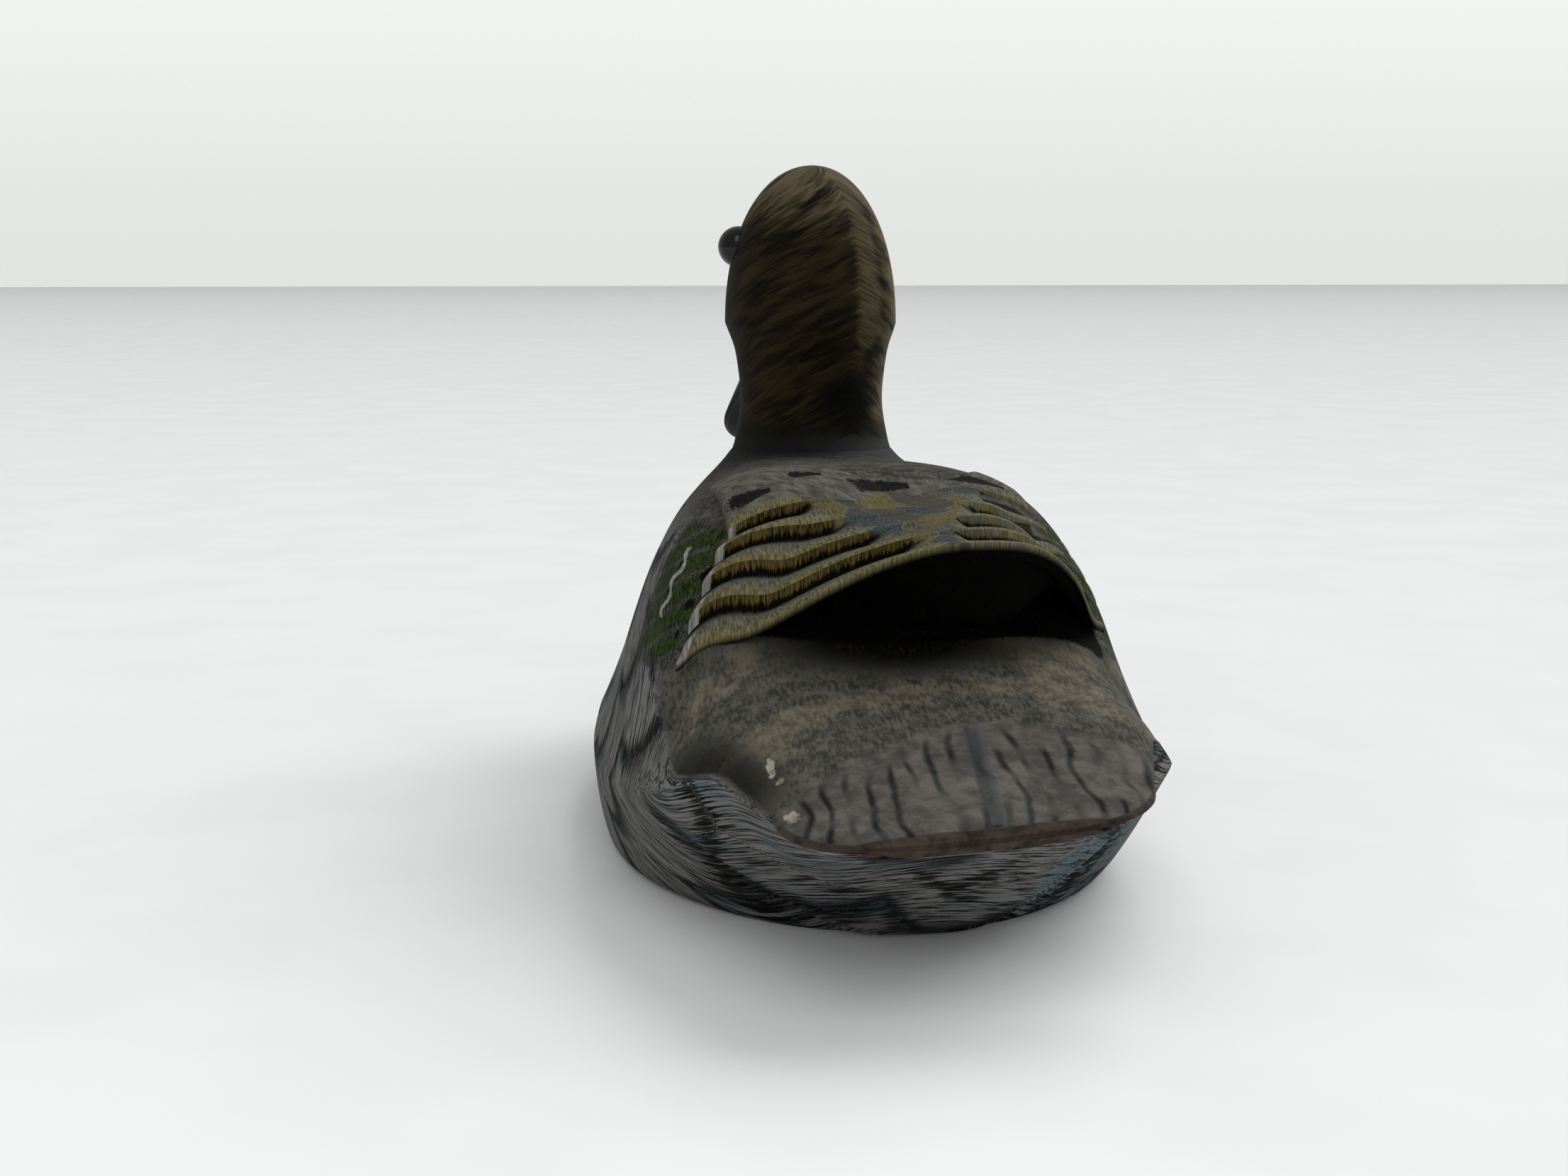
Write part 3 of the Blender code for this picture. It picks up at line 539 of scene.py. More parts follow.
def body_paint():
    """Feather painting of back, rump, tail, flanks and undertail."""
    material, pot = new_paint("body paint")
    rump, flank, neck = pot.attribute("zone")
    green, white, black = pot.attribute("mark")
    shade, blue, wear = pot.attribute("feather")
    along, across, offset = pot.attribute("stroke")
    fan, fan_along, chip = pot.attribute("fan")
    band, shaft, painted_shade = pot.attribute("band")
    x, y, z = (part * (1 / MM) for part in pot.here().parts())
    place = pot.joined(x, y, z)

    hair = pot.noise((along * 0.2, across * 3.0, offset), 1.0, 3.0, 0.65)
    fur = pot.noise((x * 2.4, y * 0.7, z * 0.7), 1.0, 3.0, 0.6)
    broad = pot.noise(place, 0.16, 3.0)
    mottle = pot.noise(place, 0.4, 4.0, 0.65)
    hair_light = hair.between(0.4, 0.57)

    # Grey hair strokes over blue black, with dark bands between the groups
    dark = pot.colour((13, 13, 13), (24, 40, 46), blue)
    light = pot.colour((120, 120, 118), (96, 110, 115), (blue + broad - 0.5).between(0.15, 0.75))
    lit = 0.12 + 0.88 * (shade + hair.swing(1.2)).between(0.1, 0.75)
    flank_colour = dark.mixed(light, hair_light * lit)
    flank_colour = flank_colour.mixed(pot.colour((5, 4, 3), (24, 22, 20), hair_light),
                                      (band * 0.9 + hair.swing(-3.6)).between(0.4, 0.75) * 0.95)

    # Rump feathers, tan in their middle and slate at their edges
    tan = pot.colour((74, 71, 61), (112, 105, 91), (mottle * 0.7 + fur * 0.4 - 0.05).between(0.36, 0.64))
    slate = pot.colour((50, 50, 45), (88, 87, 80), (fur * 0.6 + mottle * 0.5 - 0.05).between(0.36, 0.64))
    rump_colour = slate.mixed(tan, (shade + fur.swing(0.9) + broad.swing(2.6)).between(0.15, 0.95))
    # Painted shade darkens the rump towards the hollow and along its left rim
    rump_colour = rump_colour.mixed(pot.colour((7, 7, 5), (26, 24, 20), fur.between(0.45, 0.65)),
                                    (painted_shade + fur.swing(0.7) + mottle.swing(0.5)).between(0.2, 0.9))

    # Tail fan: mauve grey with broken dark lines and a broad blue shaft
    fan_grey = pot.colour((68, 66, 63), (98, 93, 88), (mottle * 0.7 + broad * 0.5 - 0.1).between(0.36, 0.64))
    rump_colour = rump_colour.mixed(fan_grey, (fan_along + fur.swing(0.5)).between(0.05, 0.4))
    swell = pot.noise(place, 0.11, 1.0)
    swung = fan + swell.swing(1.3) + mottle.swing(0.1)
    number = fan.math("FLOOR", swung)
    broken = pot.noise((number * 3.7, fan_along * 0.45, number * 1.9), 1.0, 2.0, 0.55)
    line = 1 - swung.math("ABSOLUTE", swung.math("FRACT", swung) - 0.5).between(0.02, 0.27)
    stroke = line * (broken + mottle.swing(0.2)).between(0.39, 0.54) * fan_along.between(0.2, 0.7)
    ink = pot.colour((18, 17, 15), (44, 49, 49), broad.between(0.42, 0.56))
    rump_colour = rump_colour.mixed(ink, stroke * 0.9)
    quill = pot.colour((40, 46, 48), (70, 78, 80), (shaft + fur.swing(0.5)).between(0.0, 0.8))
    on_shaft = 1 - shaft.math("ABSOLUTE", shaft).between(0.6, 1.1)
    rump_colour = rump_colour.mixed(quill, on_shaft * fan_along.between(0.1, 0.8) * 0.65)

    # Back and flanks round the rump, and the grey foot of the neck, painted lighter towards the duck's right
    # as painted light
    back = pot.colour((44, 43, 40), (84, 82, 76), (mottle * 0.7 + fur * 0.5 - 0.1).between(0.36, 0.66))
    back = back.mixed(pot.colour((16, 15, 13), (36, 34, 31), fur), 1 - shade.between(0.1, 0.45))
    colour = back.mixed(rump_colour, (rump + fur.swing(0.5)).between(0.35, 0.65)).mixed(flank_colour, flank)
    neck_grey = pot.colour((26, 27, 26), (54, 56, 54), (mottle * 0.4 + x * 0.03 + 0.3).between(0.3, 0.8))
    colour = colour.mixed(neck_grey, neck)

    # Green wing patch with its white bar, and everything black: black paint, with painted shade in the hollow
    # under the wings and along the foot
    leaf = pot.colour((16, 25, 7), (52, 66, 27), hair.between(0.38, 0.62))
    colour = colour.mixed(pot.colour((32, 33, 30), (72, 73, 68), hair_light), green.between(0.02, 0.2))
    colour = colour.mixed(leaf, (green + hair.swing(0.5)).between(0.45, 0.65))
    colour = colour.mixed(pot.colour((116, 115, 113), (158, 156, 153), hair_light),
                          (white + mottle.swing(0.5)).between(0.4, 0.6))
    colour = colour.mixed(pot.colour((3, 3, 2), (16, 13, 10), (mottle + fur - 0.5).between(0.5, 0.8)),
                          (black + fur.swing(0.6)).between(0.35, 0.65))

    # Rubbed tail edge and chips down to the ground coat
    rubbed = (wear + mottle.swing(0.9)).between(0.4, 0.6)
    bare = pot.colour((46, 38, 33), (72, 62, 56), mottle.between(0.35, 0.65))
    rust = pot.colour((98, 58, 24), (76, 48, 26), fur)
    bare = bare.mixed(rust, broad.between(0.53, 0.61) * mottle.between(0.5, 0.6))
    colour = colour.mixed(bare, rubbed)
    colour = colour.mixed(pot.colour((104, 99, 84), (150, 145, 127), mottle.between(0.4, 0.6)),
                          (chip + mottle.swing(1.6) + fur.swing(0.8)).between(0.45, 0.65))
    relief = hair * 0.5 + fur * 0.3 + mottle * 0.4 - stroke * 0.6
    return feed(material, colour, 0.62 + hair * 0.2 - rubbed * 0.1, relief, 0.18, MATT)


def wing_paint():
    """Long buff feathers with dark hatched edges, and the small patched feathers of the back between them."""
    material, pot = new_paint("wing paint")
    lap, riser, ridged = pot.attribute("lap")
    across, forward, under = pot.attribute("wing")
    shoulder, gap, in_riser = pot.attribute("shoulder")
    outer, cool = pot.attribute("outer end", 2)
    place = pot.joined(across, forward, 0.0)
    hatch = pot.noise((across * 5.2, forward * 0.5, riser * 0.8), 1.0, 3.0, 0.65)
    fur = pot.noise((across * 3.4, forward * 1.1, 0.0), 1.0, 3.0, 0.65)
    soft = pot.noise(place, 0.5, 4.0, 0.6)
    streak = pot.noise((across * 1.6, forward * 0.3, 0.0), 1.0, 3.0, 0.6)

    # Buff tread, golden hatch that hangs over a black groove, whose black is paint and painted shade
    buff = pot.colour((78, 73, 48), (122, 115, 82), fur.between(0.36, 0.64))
    grey_buff = pot.colour((70, 70, 62), (108, 106, 92), fur.between(0.36, 0.64))
    tread = buff.mixed(grey_buff, (lap + soft.swing(0.8)).between(0.1, 0.55))
    tread = tread.mixed(pot.colour((66, 74, 78), (92, 96, 92), fur), cool * soft.between(0.42, 0.6) * 0.8)
    gold = pot.colour((38, 31, 12), (92, 80, 42), hatch.between(0.36, 0.64))
    black = pot.colour((4, 4, 3), (24, 19, 9), hatch.between(0.52, 0.68))
    side = black.mixed(gold, (riser + hatch.swing(1.4) + soft.swing(0.8)).between(0.25, 0.6))
    side = side.mixed(tread, cool * riser.between(0.2, 0.6) * 0.8)
    long_feather = tread.mixed(side, (in_riser + fur.swing(0.5)).between(0.3, 0.6))
    long_feather = long_feather.mixed(black, (lap + fur.swing(0.35)).between(0.62, 0.86))

    # Patches of the back, with pale crooked joints
    wobble = place.node("VectorMath", {"operation": "ADD"},
                        {0: place, 1: pot.joined(soft * 3.0, streak * 1.2, 0.0)})
    cells = {"Vector": wobble, "Scale": 0.2}
    flat = {"voronoi_dimensions": "2D"}
    pick, drab = pot.node("TexVoronoi", {"feature": "F1", **flat}, cells, 1).parts(2)
    crack = pot.node("TexVoronoi", {"feature": "DISTANCE_TO_EDGE", **flat}, cells)
    olive = pot.colour((74, 70, 44), (102, 95, 64), fur.between(0.38, 0.62))
    slate = pot.colour((48, 55, 57), (70, 77, 77), fur.between(0.38, 0.62))
    patch = olive.mixed(slate, (pick + soft.swing(0.3)).between(0.5, 0.6))
    patch = patch.mixed(pot.colour((52, 51, 45), (82, 78, 68), fur), drab.between(0.55, 0.7))
    patch = patch.mixed(pot.colour((116, 109, 82), (96, 92, 74), soft),
                        (1 - crack.between(0.012, 0.045)) * soft.between(0.42, 0.56) * 0.85)
    mauve = pot.colour((60, 59, 54), (100, 99, 90), (soft * 0.9 + streak * 0.2 - 0.05).between(0.34, 0.66))
    patch = patch.mixed(mauve, (shoulder + soft.swing(0.7)).between(0.3, 0.6))
    patch = patch.mixed(pot.colour((9, 8, 7), (30, 27, 23), streak.between(0.5, 0.7)),
                        (gap + streak.swing(1.0) + soft.swing(1.2)).between(0.36, 0.62))
    colour = patch.mixed(long_feather, ridged)

    # White crooked bar on the outer ends; under the wings black paint with painted shade
    white = pot.colour((104, 103, 100), (158, 156, 152), streak.between(0.35, 0.65))
    colour = colour.mixed(white, (outer + soft.swing(0.6)).between(0.55, 0.75) * (1 - lap.between(0.5, 0.8)))
    black_paint_and_shade = pot.colour((3, 3, 2), (15, 12, 9), (soft * 0.5 + hatch * 0.5).between(0.5, 0.62))
    colour = colour.mixed(black_paint_and_shade, under)
    return feed(material, colour, 0.62 + soft * 0.25, hatch * 0.5 + fur * 0.6 + soft * 0.3, 0.2, MATT)


def head_paint():
    """Olive streaks brushed sideways from a parting over dark brown, grey at the foot of the neck."""
    material, pot = new_paint("head paint")
    along, across, turned = pot.attribute("streak")
    nape, lit, foot = pot.attribute("head zone")
    parting, side = pot.attribute("parting", 2)
    streak = pot.noise((along * 0.1, across * 0.62, turned), 1.0, 2.5, 0.6)
    fine = pot.noise((along * 0.2, across * 2.6, turned), 1.0, 2.0)
    broad = pot.noise((along, across, turned), 0.12, 2.0)
    dark = pot.colour((12, 9, 4), (26, 20, 10), fine.between(0.4, 0.6))
    # Painted light: paler olive, and more of it, on the head's right side and crown
    olive = pot.colour((42, 36, 19), (96, 87, 64), (fine * 0.5 + lit * 0.9 - 0.05).between(0.2, 0.85))
    share = (streak + fine.swing(0.25) + lit * 0.16 - nape * 0.15).between(0.36, 0.7)
    colour = dark.mixed(olive, share * 0.95)
    colour = colour.mixed(pot.colour((54, 48, 31), (84, 76, 56), fine.between(0.35, 0.65)),
                          (parting + streak.swing(1.2)).between(0.2, 0.8) * 0.85)
    colour = colour.mixed(pot.colour((5, 5, 3), (22, 18, 10), streak.between(0.5, 0.64)),
                          (nape + streak.swing(0.6)).between(0.4, 0.8))
    # Painted light: the grey is painted lighter towards the duck's right
    grey = pot.colour((26, 27, 26), (54, 56, 54), (broad * 0.4 + side * 0.03 + 0.3).between(0.3, 0.8))
    grey = pot.colour((12, 12, 10), (20, 19, 15), fine).mixed(grey, foot.between(0.5, 1.0))
    colour = colour.mixed(grey, (foot + streak.swing(1.5) + fine.swing(0.5)).between(0.25, 0.85))
    return feed(material, colour, 0.62 + fine * 0.15, streak * 0.5 + fine * 0.5, 0.12, MATT)


def bill_paint():
    """Black paint with brush marks along the bill."""
    material, pot = new_paint("bill paint")
    x, y, z = pot.here().parts()
    marks = pot.noise((x * 1800.0, y * 200.0, z * 1800.0), 1.0, 3.0)
    colour = pot.colour((7, 7, 6), (18, 16, 14), marks.between(0.4, 0.7))
    return feed(material, colour, 0.36 + marks * 0.2, marks, 0.08, shine=0.1)


def bead_glass():
    """Polished black glass."""
    material, pot = new_paint("bead glass")
    dust = pot.noise(pot.here(), 900.0, 3.0)
    colour = pot.colour((5, 4, 4), (13, 11, 9), dust.between(0.5, 0.7))
    return feed(material, colour, 0.08 + dust.between(0.55, 0.75) * 0.08, shine=0.3)


def peg_wood():
    """Bare birch with grain along the peg."""
    material, pot = new_paint("peg wood")
    x, y, z = pot.here().parts()
    grain = pot.noise((x * 1500.0, y * 1500.0, z * 120.0), 1.0, 4.0)
    colour = pot.colour((178, 140, 96), (214, 184, 140), grain.between(0.35, 0.65))
    return feed(material, colour, 0.6 + grain * 0.2, grain)


def shank_wire():
    """Drawn steel wire."""
    material, pot = new_paint("shank wire")
    drawn = pot.noise(pot.here(), 2500.0, 3.0)
    colour = pot.colour((150, 150, 152), (190, 190, 190), drawn)
    return feed(material, colour, 0.25 + drawn * 0.2, metal=1.0)


# Pieces


def wing_plain(across, place):
    """Points of the wings before they are stepped, their reach from the lip and the body's height under them.

    Across runs from -1, left, to 1, right. Place counts feathers from the lip, then one more to the front.
    """
    rise = arch_rise(across * WING_SPAN / 2)
    corner = WING_CORNER_HEIGHT + WING_TILT * across
    edge_y = WING_CORNER_Y + (WING_TIP_Y - WING_CORNER_Y) * rise
    edge_z = corner + (ARCH_HEIGHT - corner) * rise
    step_y = FEATHER_FRONT_Y + FEATHER_SLANT * fade(across, -0.2, 0.7)
    share = np.clip(place / FEATHERS, 0, 1)
    y = edge_y + (step_y - edge_y) * share + (edge_y + WING_REACH - step_y) * np.clip(place - FEATHERS, 0, 1)
    reach = y - edge_y
    span = WING_SPAN + (WING_FRONT_SPAN - WING_SPAN) * share
    # The lip's right end is drawn in by a millimetre
    x = across / 2 * span - fade(across, 0.7, 1) * (1 - share)
    back = body_top(x, y)
    # The long feathers of the left wing lie on the flank, so they are lifted by the depth of a step
    roll = FEATHER_DROP * fade(across, 0.3, -0.5)
    lifted = back + WING_LIFT * (0.25 + 0.75 * share)
    lifted = lifted + roll * (fade(place, 0, 1) - fade(place, FEATHERS, FEATHERS + 1))
    chord = edge_z + (body_top(x, step_y + 0 * x) + WING_LIFT + roll - edge_z) * share
    over_both = 0.5 * (chord + lifted + np.hypot(chord - lifted, 2 * (1 - share)))
    return x, y, np.where(place < FEATHERS, over_both, lifted), reach, back


def make_body():
    """The painted skin of block and bottom board, in one piece as the paint covers the joint."""
    straight = np.linspace(TAIL_Y, BREAST_Y - BREAST_ROUNDING, BODY_STATIONS)
    turn = np.linspace(0, math.pi / 2, BREAST_RINGS + 1)[1:]
    tail_turn = TAIL_Y + TAIL_EDGE_ROUNDING * (1 - np.cos(np.linspace(0, math.pi / 2, TAIL_EDGE_RINGS)))
    straight = straight[straight > tail_turn[-1]]
    stations = np.concatenate([tail_turn, straight, BREAST_Y - BREAST_ROUNDING * (1 - np.sin(turn))])
    plain = np.array([body_ring(y) for y in stations])
    station = plain[:, :, 1].copy()
    points = carve(plain.reshape(-1, 3)).reshape(plain.shape)
    x, y, z = np.moveaxis(points, 2, 0)
    normals = grid_normals(points)
    up = normals[:, :, 2]
    side = np.abs(x)

    # Distance up the section from its widest place, below zero under it
    stride = np.linalg.norm(np.roll(points, -1, axis=1) - points, axis=2)
    walked = np.cumsum(stride, axis=1) - stride
    left_edge = walked[:, 2 * TOP_STEPS:2 * TOP_STEPS + 1]
    above = np.where(walked <= left_edge, -np.minimum(walked, left_edge - walked),
                     np.minimum(walked - left_edge, walked[:, -1:] + stride[:, -1:] - walked))

    # Where each kind of feather lies
    rump_rim = smooth_line((TAIL_Y, 0.2), (-56, 0.6), (-50, 1.6), (-42, 6.5), (-34, 11), (-28, 17),
                           (BREAST_Y, 18))
    on_top = fade(above - rump_rim(station), -0.6, 0.8)
    rump = on_top * fade(station, STEP_Y + 12, STEP_Y + 3)
    past_tail = fade(station, -62, -54)
    flank = (1 - rump) * (fade(up, 0.8, 0.5) * past_tail + 1 - past_tail)
    neck = np.exp(-np.clip(np.hypot(x, y - NECK_Y) - NECK_FOOT_WIDTH / 2, 0, None) / 9) * fade(z, 42, 49)

    # Hair strokes run back and down the flanks, and level round the stern
    across = 0.67 * z - 0.74 * y
    along = -0.67 * y + 0.74 * (50 - z)
    round_stern = fade(station, BASE_REAR_Y + 14, BASE_REAR_Y - 6)
    along = along * (1 - round_stern) + (x + 83) * round_stern
    across = across * (1 - round_stern) + (z + 0.012 * x * x + 22) * round_stern

    # Flank feathers
    edge, root, vane, number = scales(-y + 0.8 * (46 - z) + 200, z - 0.7 * y + 100, 23, 17, 9)
    flank_shade = fade(edge, 0.4, 6) * (0.2 + 0.8 * fade(root, 0.5, 8)) * (0.75 + 0.25 * number)
    flank_blue = bell(vane, 0.2, 0.9) * 0.7 * fade(root, 6, 0)

    # A dark band down the stern's side, and dark bands that lean out from the middle of the undertail
    band_y = smooth_line((0, -40), (6, -41.3), (9.5, -43.4), (14.5, -49.6), (19, -52.6), (24, -51.5))
    band = bell(y, band_y(z), 4) * fade(z, 28, 24)
    lean = x - BANDS_MIDDLE
    arms = bell(z, BANDS_HEIGHT + 0.8 * np.abs(lean), 3.6) * fade(np.abs(lean), 11, 4)
    stem = 0.6 * bell(lean, 0.5 * (z - BANDS_HEIGHT), 4) * fade(z, 12, 7)
    aside = np.abs(x - SECOND_BANDS_MIDDLE)
    second = bell(z, 5 + 0.6 * aside, 3.4) * fade(aside, 8, 2)
    undertail = fade(y, -44, -50)
    band = np.maximum(band, np.maximum(np.maximum(arms, stem), second) * 0.95 * undertail) * (1 - rump)
    stern_edge, stern_root = scales(24 - z + 0.35 * side + 60, x + 0.02 * z + 60, 17, 27, 7)[:2]
    stern_shade = fade(stern_edge, 0.2, 4) * (0.2 + 0.5 * fade(stern_root, 0.3, 6))
    stern_shade = np.maximum(stern_shade, 0.9 * fade(x, 8, 17) * fade(z, 17, 11))
    flank_shade = flank_shade * (1 - round_stern) + stern_shade * round_stern

    # Back and rump feathers
    back_edge, back_root = scales(-y + 100, x + 0.3 * y + 100, 11, 13, 5)[:2]
    back_shade = fade(back_edge, 0.2, 1.2) * (0.5 + 0.5 * fade(back_root, 0.3, 4))
    from_fan_middle = np.abs(x - FAN_MIDDLE)
    before_fan = y - FAN_FRONT_Y + 0.11 * from_fan_middle ** 1.5
    patches = 0.5 + 0.25 * np.sin(0.42 * x + 1.2) + 0.25 * np.sin(0.2 * x - 0.35 * y)
    rump_shade = bell(before_fan, 7.3 + 0.27 * from_fan_middle, 6.5) * (0.65 + 0.5 * patches)
    upper_left = bell(np.hypot((x + 22) / 9, (y + 39) / 8), 0, 1)
    rump_shade = np.maximum(rump_shade, 0.9 * upper_left * (0.6 + 0.5 * patches))
    rump_shade = np.maximum(rump_shade, 0.8 * bell(x, 19, 12) * fade(before_fan, 3, 8))
    shade = back_shade * (1 - rump) + rump_shade * rump
    shade = shade * (1 - flank) + flank_shade * flank
    right_stern = fade(x, 10, 22) * fade(z, 17, 11)
    blue = flank * (flank_blue + round_stern * (0.3 * bell(vane, 0, 1) + right_stern))

    # Tail fan, with its shaft a little to the right of the duck's middle
    fan_along = np.clip(-before_fan / 6, 0, 4) * rump
    from_root = y - FAN_ROOT_Y
    fan_reach = 28 + 45 * fade(-x, -4, 10) - from_root
    fan = np.arctan2(x - 5, fan_reach) * fan_reach / FAN_STROKE_SPACING + 0.5
    shaft = (x - 3.8 - 0.09 * from_root) / SHAFT_WIDTH
    shaft = np.where(fan_along > 0.02, shaft, 9)

    # Wing patch on the flank: green feathers with a crooked white bar
    from_bar = y - WHITE_BAR_Y + 0.3 * (45.6 - z)
    patch_height = fade(z, 29, 32.5) * fade(z, 47.5, 46) * fade(side, 19, 21) * (1 - rump)
    patch_zone = fade(from_bar, -3, -2) * fade(from_bar, 17, 13) * patch_height
    tier = ((z + 0.45 * from_bar) / 3.6) % 1
    green = patch_zone * (0.25 + 0.75 * fade(tier, 0.06, 0.16) * fade(tier, 0.92, 0.78))
    crook = 8.2 + 0.9 * np.sin(z * 1.75 + 0.6) - 0.12 * (44 - z)
    bar_height = fade(z, 35, 36.5) * fade(z, 45, 43.5) * patch_height
    white = bell(from_bar, crook, 1.3) * bar_height
    accent = bell(from_bar, crook + 1.5, 1.2) * fade(tier, 0.5, 0.7) * bar_height
    accent = np.maximum(accent, bell(from_bar, 1.2, 1.6) * fade(tier, 0.45, 0.7) * patch_height)

    # Black paint and painted shade in the hollow under the wing tips
    hollow_y = HOLLOW_EDGE_Y + np.where(x < 0, 9.5, 6.5) * (side / 26) ** 2
    wing_side = WING_SPAN / 2 - np.clip(y - WING_CORNER_Y, 0, (WING_SPAN - WING_FRONT_SPAN) / 2)
    covered = fade(y, -16, -20) * fade(side - wing_side, -0.6, -2) * on_top
    hollow = fade(y, hollow_y - 1.6, hollow_y + 1.2) * covered
    black = np.maximum(hollow, accent)

    # Painted shade on the rump towards the hollow and along its left rim, and painted shade in a dark line
    # along the foot
    painted_shade = fade(hollow_y - y, 12, 0) * (0.35 + 0.65 * bell(x, -2, 24))
    left_rim = fade(x + plan_line(station), 9, 0) * fade(station, -38, -50) * fade(station, -80, -64)
    painted_shade = np.maximum(painted_shade, 0.72 * left_rim) * rump
    black = np.maximum(black, fade(z, 1.6, 0.3) * 0.4)

    # Worn tail edge and chips
    tail_end = fade(station, TAIL_Y + 1.1, TAIL_Y + 0.2)
    rim = fade(np.abs(above), 1.1, 0.4) * fade(station, TAIL_Y + 11, TAIL_Y + 5)
    wear = np.maximum(tail_end, rim)
    chip = np.zeros_like(x)
    chips = ((-20, -62.8, 0.9, 4.2), (-19.4, -66, 1.2, 1.6), (-26.9, -43, 0.7, 0.8), (-19.1, -74, 1.8, 2.2))
    for chip_x, chip_y, wide, long_ in chips:
        chip = np.maximum(chip, bell(np.hypot((x - chip_x) / wide, (y - chip_y) / long_), 0, 1) * on_top)

    # Low relief of the feathers
    relief = flank * (0.35 * fade(edge, 0, 1.6) - 0.15) * (1 - round_stern)
    relief += flank * round_stern * (0.3 * fade(stern_edge, 0, 1.4) - 0.15)
    relief -= rump * fade(np.abs(shaft), 1.2, 0.3) * np.clip(fan_along - 0.3, 0, 1) * 0.15
    relief += (1 - rump) * (1 - flank) * 0.3 * fade(back_edge, 0, 1.2) * (1 - neck)
    relief += 0.2 * white - 0.15 * accent - 0.25 * np.clip(chip, 0, 1)
    relief = relief * fade(z, 0.2, 1.0)
    points = points + normals * relief[:, :, None]

    attributes = {
        "zone": (rump, flank, neck),
        "mark": (green, white, black),
        "feather": (shade, blue, wear),
        "stroke": (along, across, number * 40 * flank),
        "fan": (fan, fan_along, chip),
        "band": (band, np.clip(shaft, -9, 9), painted_shade),
    }
    return add_mesh("body_skin", points, ring_faces(*x.shape), body_paint(), attributes)


def make_wings():
    """Both folded wings as one thin shell: stepped long feathers and the patched back between them."""
    tread_steps = (0, 0.03, 0.07, 0.13, 0.2, 0.3, 0.42, 0.54, 0.66, 0.78, 0.88, 0.95, 1)
    riser_steps = (0.12, 0.24, 0.36, 0.48, 0.6, 0.72, 0.84, 0.94)
    treads = [(TREAD_SHARE * t, 0.0) for t in tread_steps]
    risers = [(TREAD_SHARE + RISER_SHARE * h, h) for h in riser_steps]
    rows = [(k, t, h) for k in range(FEATHERS) for t, h in treads + risers]
    rows += [(FEATHERS, t, 0.0) for t in np.linspace(0, 1, SHOULDER_ROWS) ** 1.3]
    k, t, h = np.array(rows).T[:, None]
    across = np.linspace(-1, 1, WING_COLUMNS + 1)[:, None]
    long_feather = k < FEATHERS
    place = np.where(long_feather, k + t, FEATHERS)
    x, y, plain, reach, surface = wing_plain(across, k + t)

    # Long feathers stop along a slanting line on each side of the patched back
    left_end = 0.5 * ARCH_OFFSET - 0.55 * ARCH_OFFSET * place
    right_end = 0.75 * ARCH_OFFSET + 0.1 * ARCH_OFFSET * place ** 2
    ragged = 0.5 * np.sin(3.1 * y) + 0.4 * np.sin(1.7 * x + 2 * y)
    ridged = np.maximum(fade(left_end - x, -0.5, 2.0), fade(x - right_end, -0.5, 2.0))
    depth = FEATHER_RISE + FEATHER_DROP
    rolled = FEATHER_RISE - depth * (t / TREAD_SHARE) ** 0.9 - FEATHER_GROOVE * fade(t, 0.16, -0.02)
    rising = -FEATHER_DROP + (depth - 0.3) * h
    last = FEATHER_RISE * fade(t, 0.35, 0) - FEATHER_GROOVE * fade(t, 0.05, -0.02)
    step = np.where(long_feather, np.where(h > 0, rising, rolled), last)
    lipped = fade(reach, 1.5, 0)
    step = step * (0.15 + 0.85 * ridged) * (1 - 0.5 * lipped)

    # Broad shoulder feathers in front with sunk dark gaps between them
    shoulder = np.where(long_feather, 0.0, 1.0) * fade(np.abs(x - 1) + 0.9 * y + 17, -3, 5)
    gap = np.zeros_like(x)
    gaps = ((-11, -13, 4, 3.4), (-19.4, -18, 5, 4.5), (-3, -17, 7, 5), (9, -12.5, 9, 4))
    for gap_x, gap_y, wide, long_ in gaps:
        aside = np.clip((x - gap_x) / wide, -1, 1)
        narrowing = 1 - fade(np.abs(y - gap_y) / long_, 0, 1.2 - 0.8 * aside)
        gap = np.maximum(gap, fade(aside, -0.5, 0.3) * narrowing * (aside < 1))
    step = step - 0.2 * gap * ~long_feather
    top = np.stack([x, y, plain + step], 2)

    free = plain - WING_LIP - FEATHER_DROP * fade(reach, 0, 3 * WING_LIP)
    rooted = np.minimum(free, surface - WING_SINK)
    under = np.stack([x, y, free + (rooted - free) * fade(reach, HOLLOW_DEPTH / 3, HOLLOW_DEPTH)], 2)
    points = np.concatenate([top, under[:, ::-1]], 1)

    def both(values, below=None):
        """Values for the upper side and, unless given, the same ones for the underside."""
        values = values + 0 * x
        return np.concatenate([values, values[:, ::-1] if below is None else np.full(x.shape, below)], 1)

    riser = np.where(long_feather & (h > 0), h, 0)
    in_riser = np.where(long_feather & (t >= TREAD_SHARE), 1.0, 0)
    lap = np.where(long_feather & (h == 0), t, 0)
    painted = np.maximum(fade(left_end + ragged - x, -0.4, 0.6), fade(x - right_end - ragged, -0.4, 0.6))
    painted = painted * np.where(long_feather, 1, fade(t, 0.1, 0.02))
    outer = fade(across, -0.9, -0.985) * long_feather
    attributes = {
        "lap": (both(lap), both(riser), both(painted)),
        "wing": (both(x), both(reach), both(0, 1.0)),
        "shoulder": (both(shoulder), both(gap), both(in_riser)),
        "outer end": (both(outer), both(fade(x, 4, 8))),
    }
    columns, count = points.shape[:2]
    faces = []
    for c in range(columns - 1):
        for i in range(count):
            j = (i + 1) % count
            faces.append((c * count + i, (c + 1) * count + i, (c + 1) * count + j, c * count + j))
    for start, turned in ((0, False), ((columns - 1) * count, True)):
        for i in range(count // 2 - 1):
            quad = [start + i, start + i + 1, start + count - i - 2, start + count - i - 1]
            faces.append(quad[::-1] if turned else quad)
    return add_mesh("folded_wings", points, faces, wing_paint(), attributes)


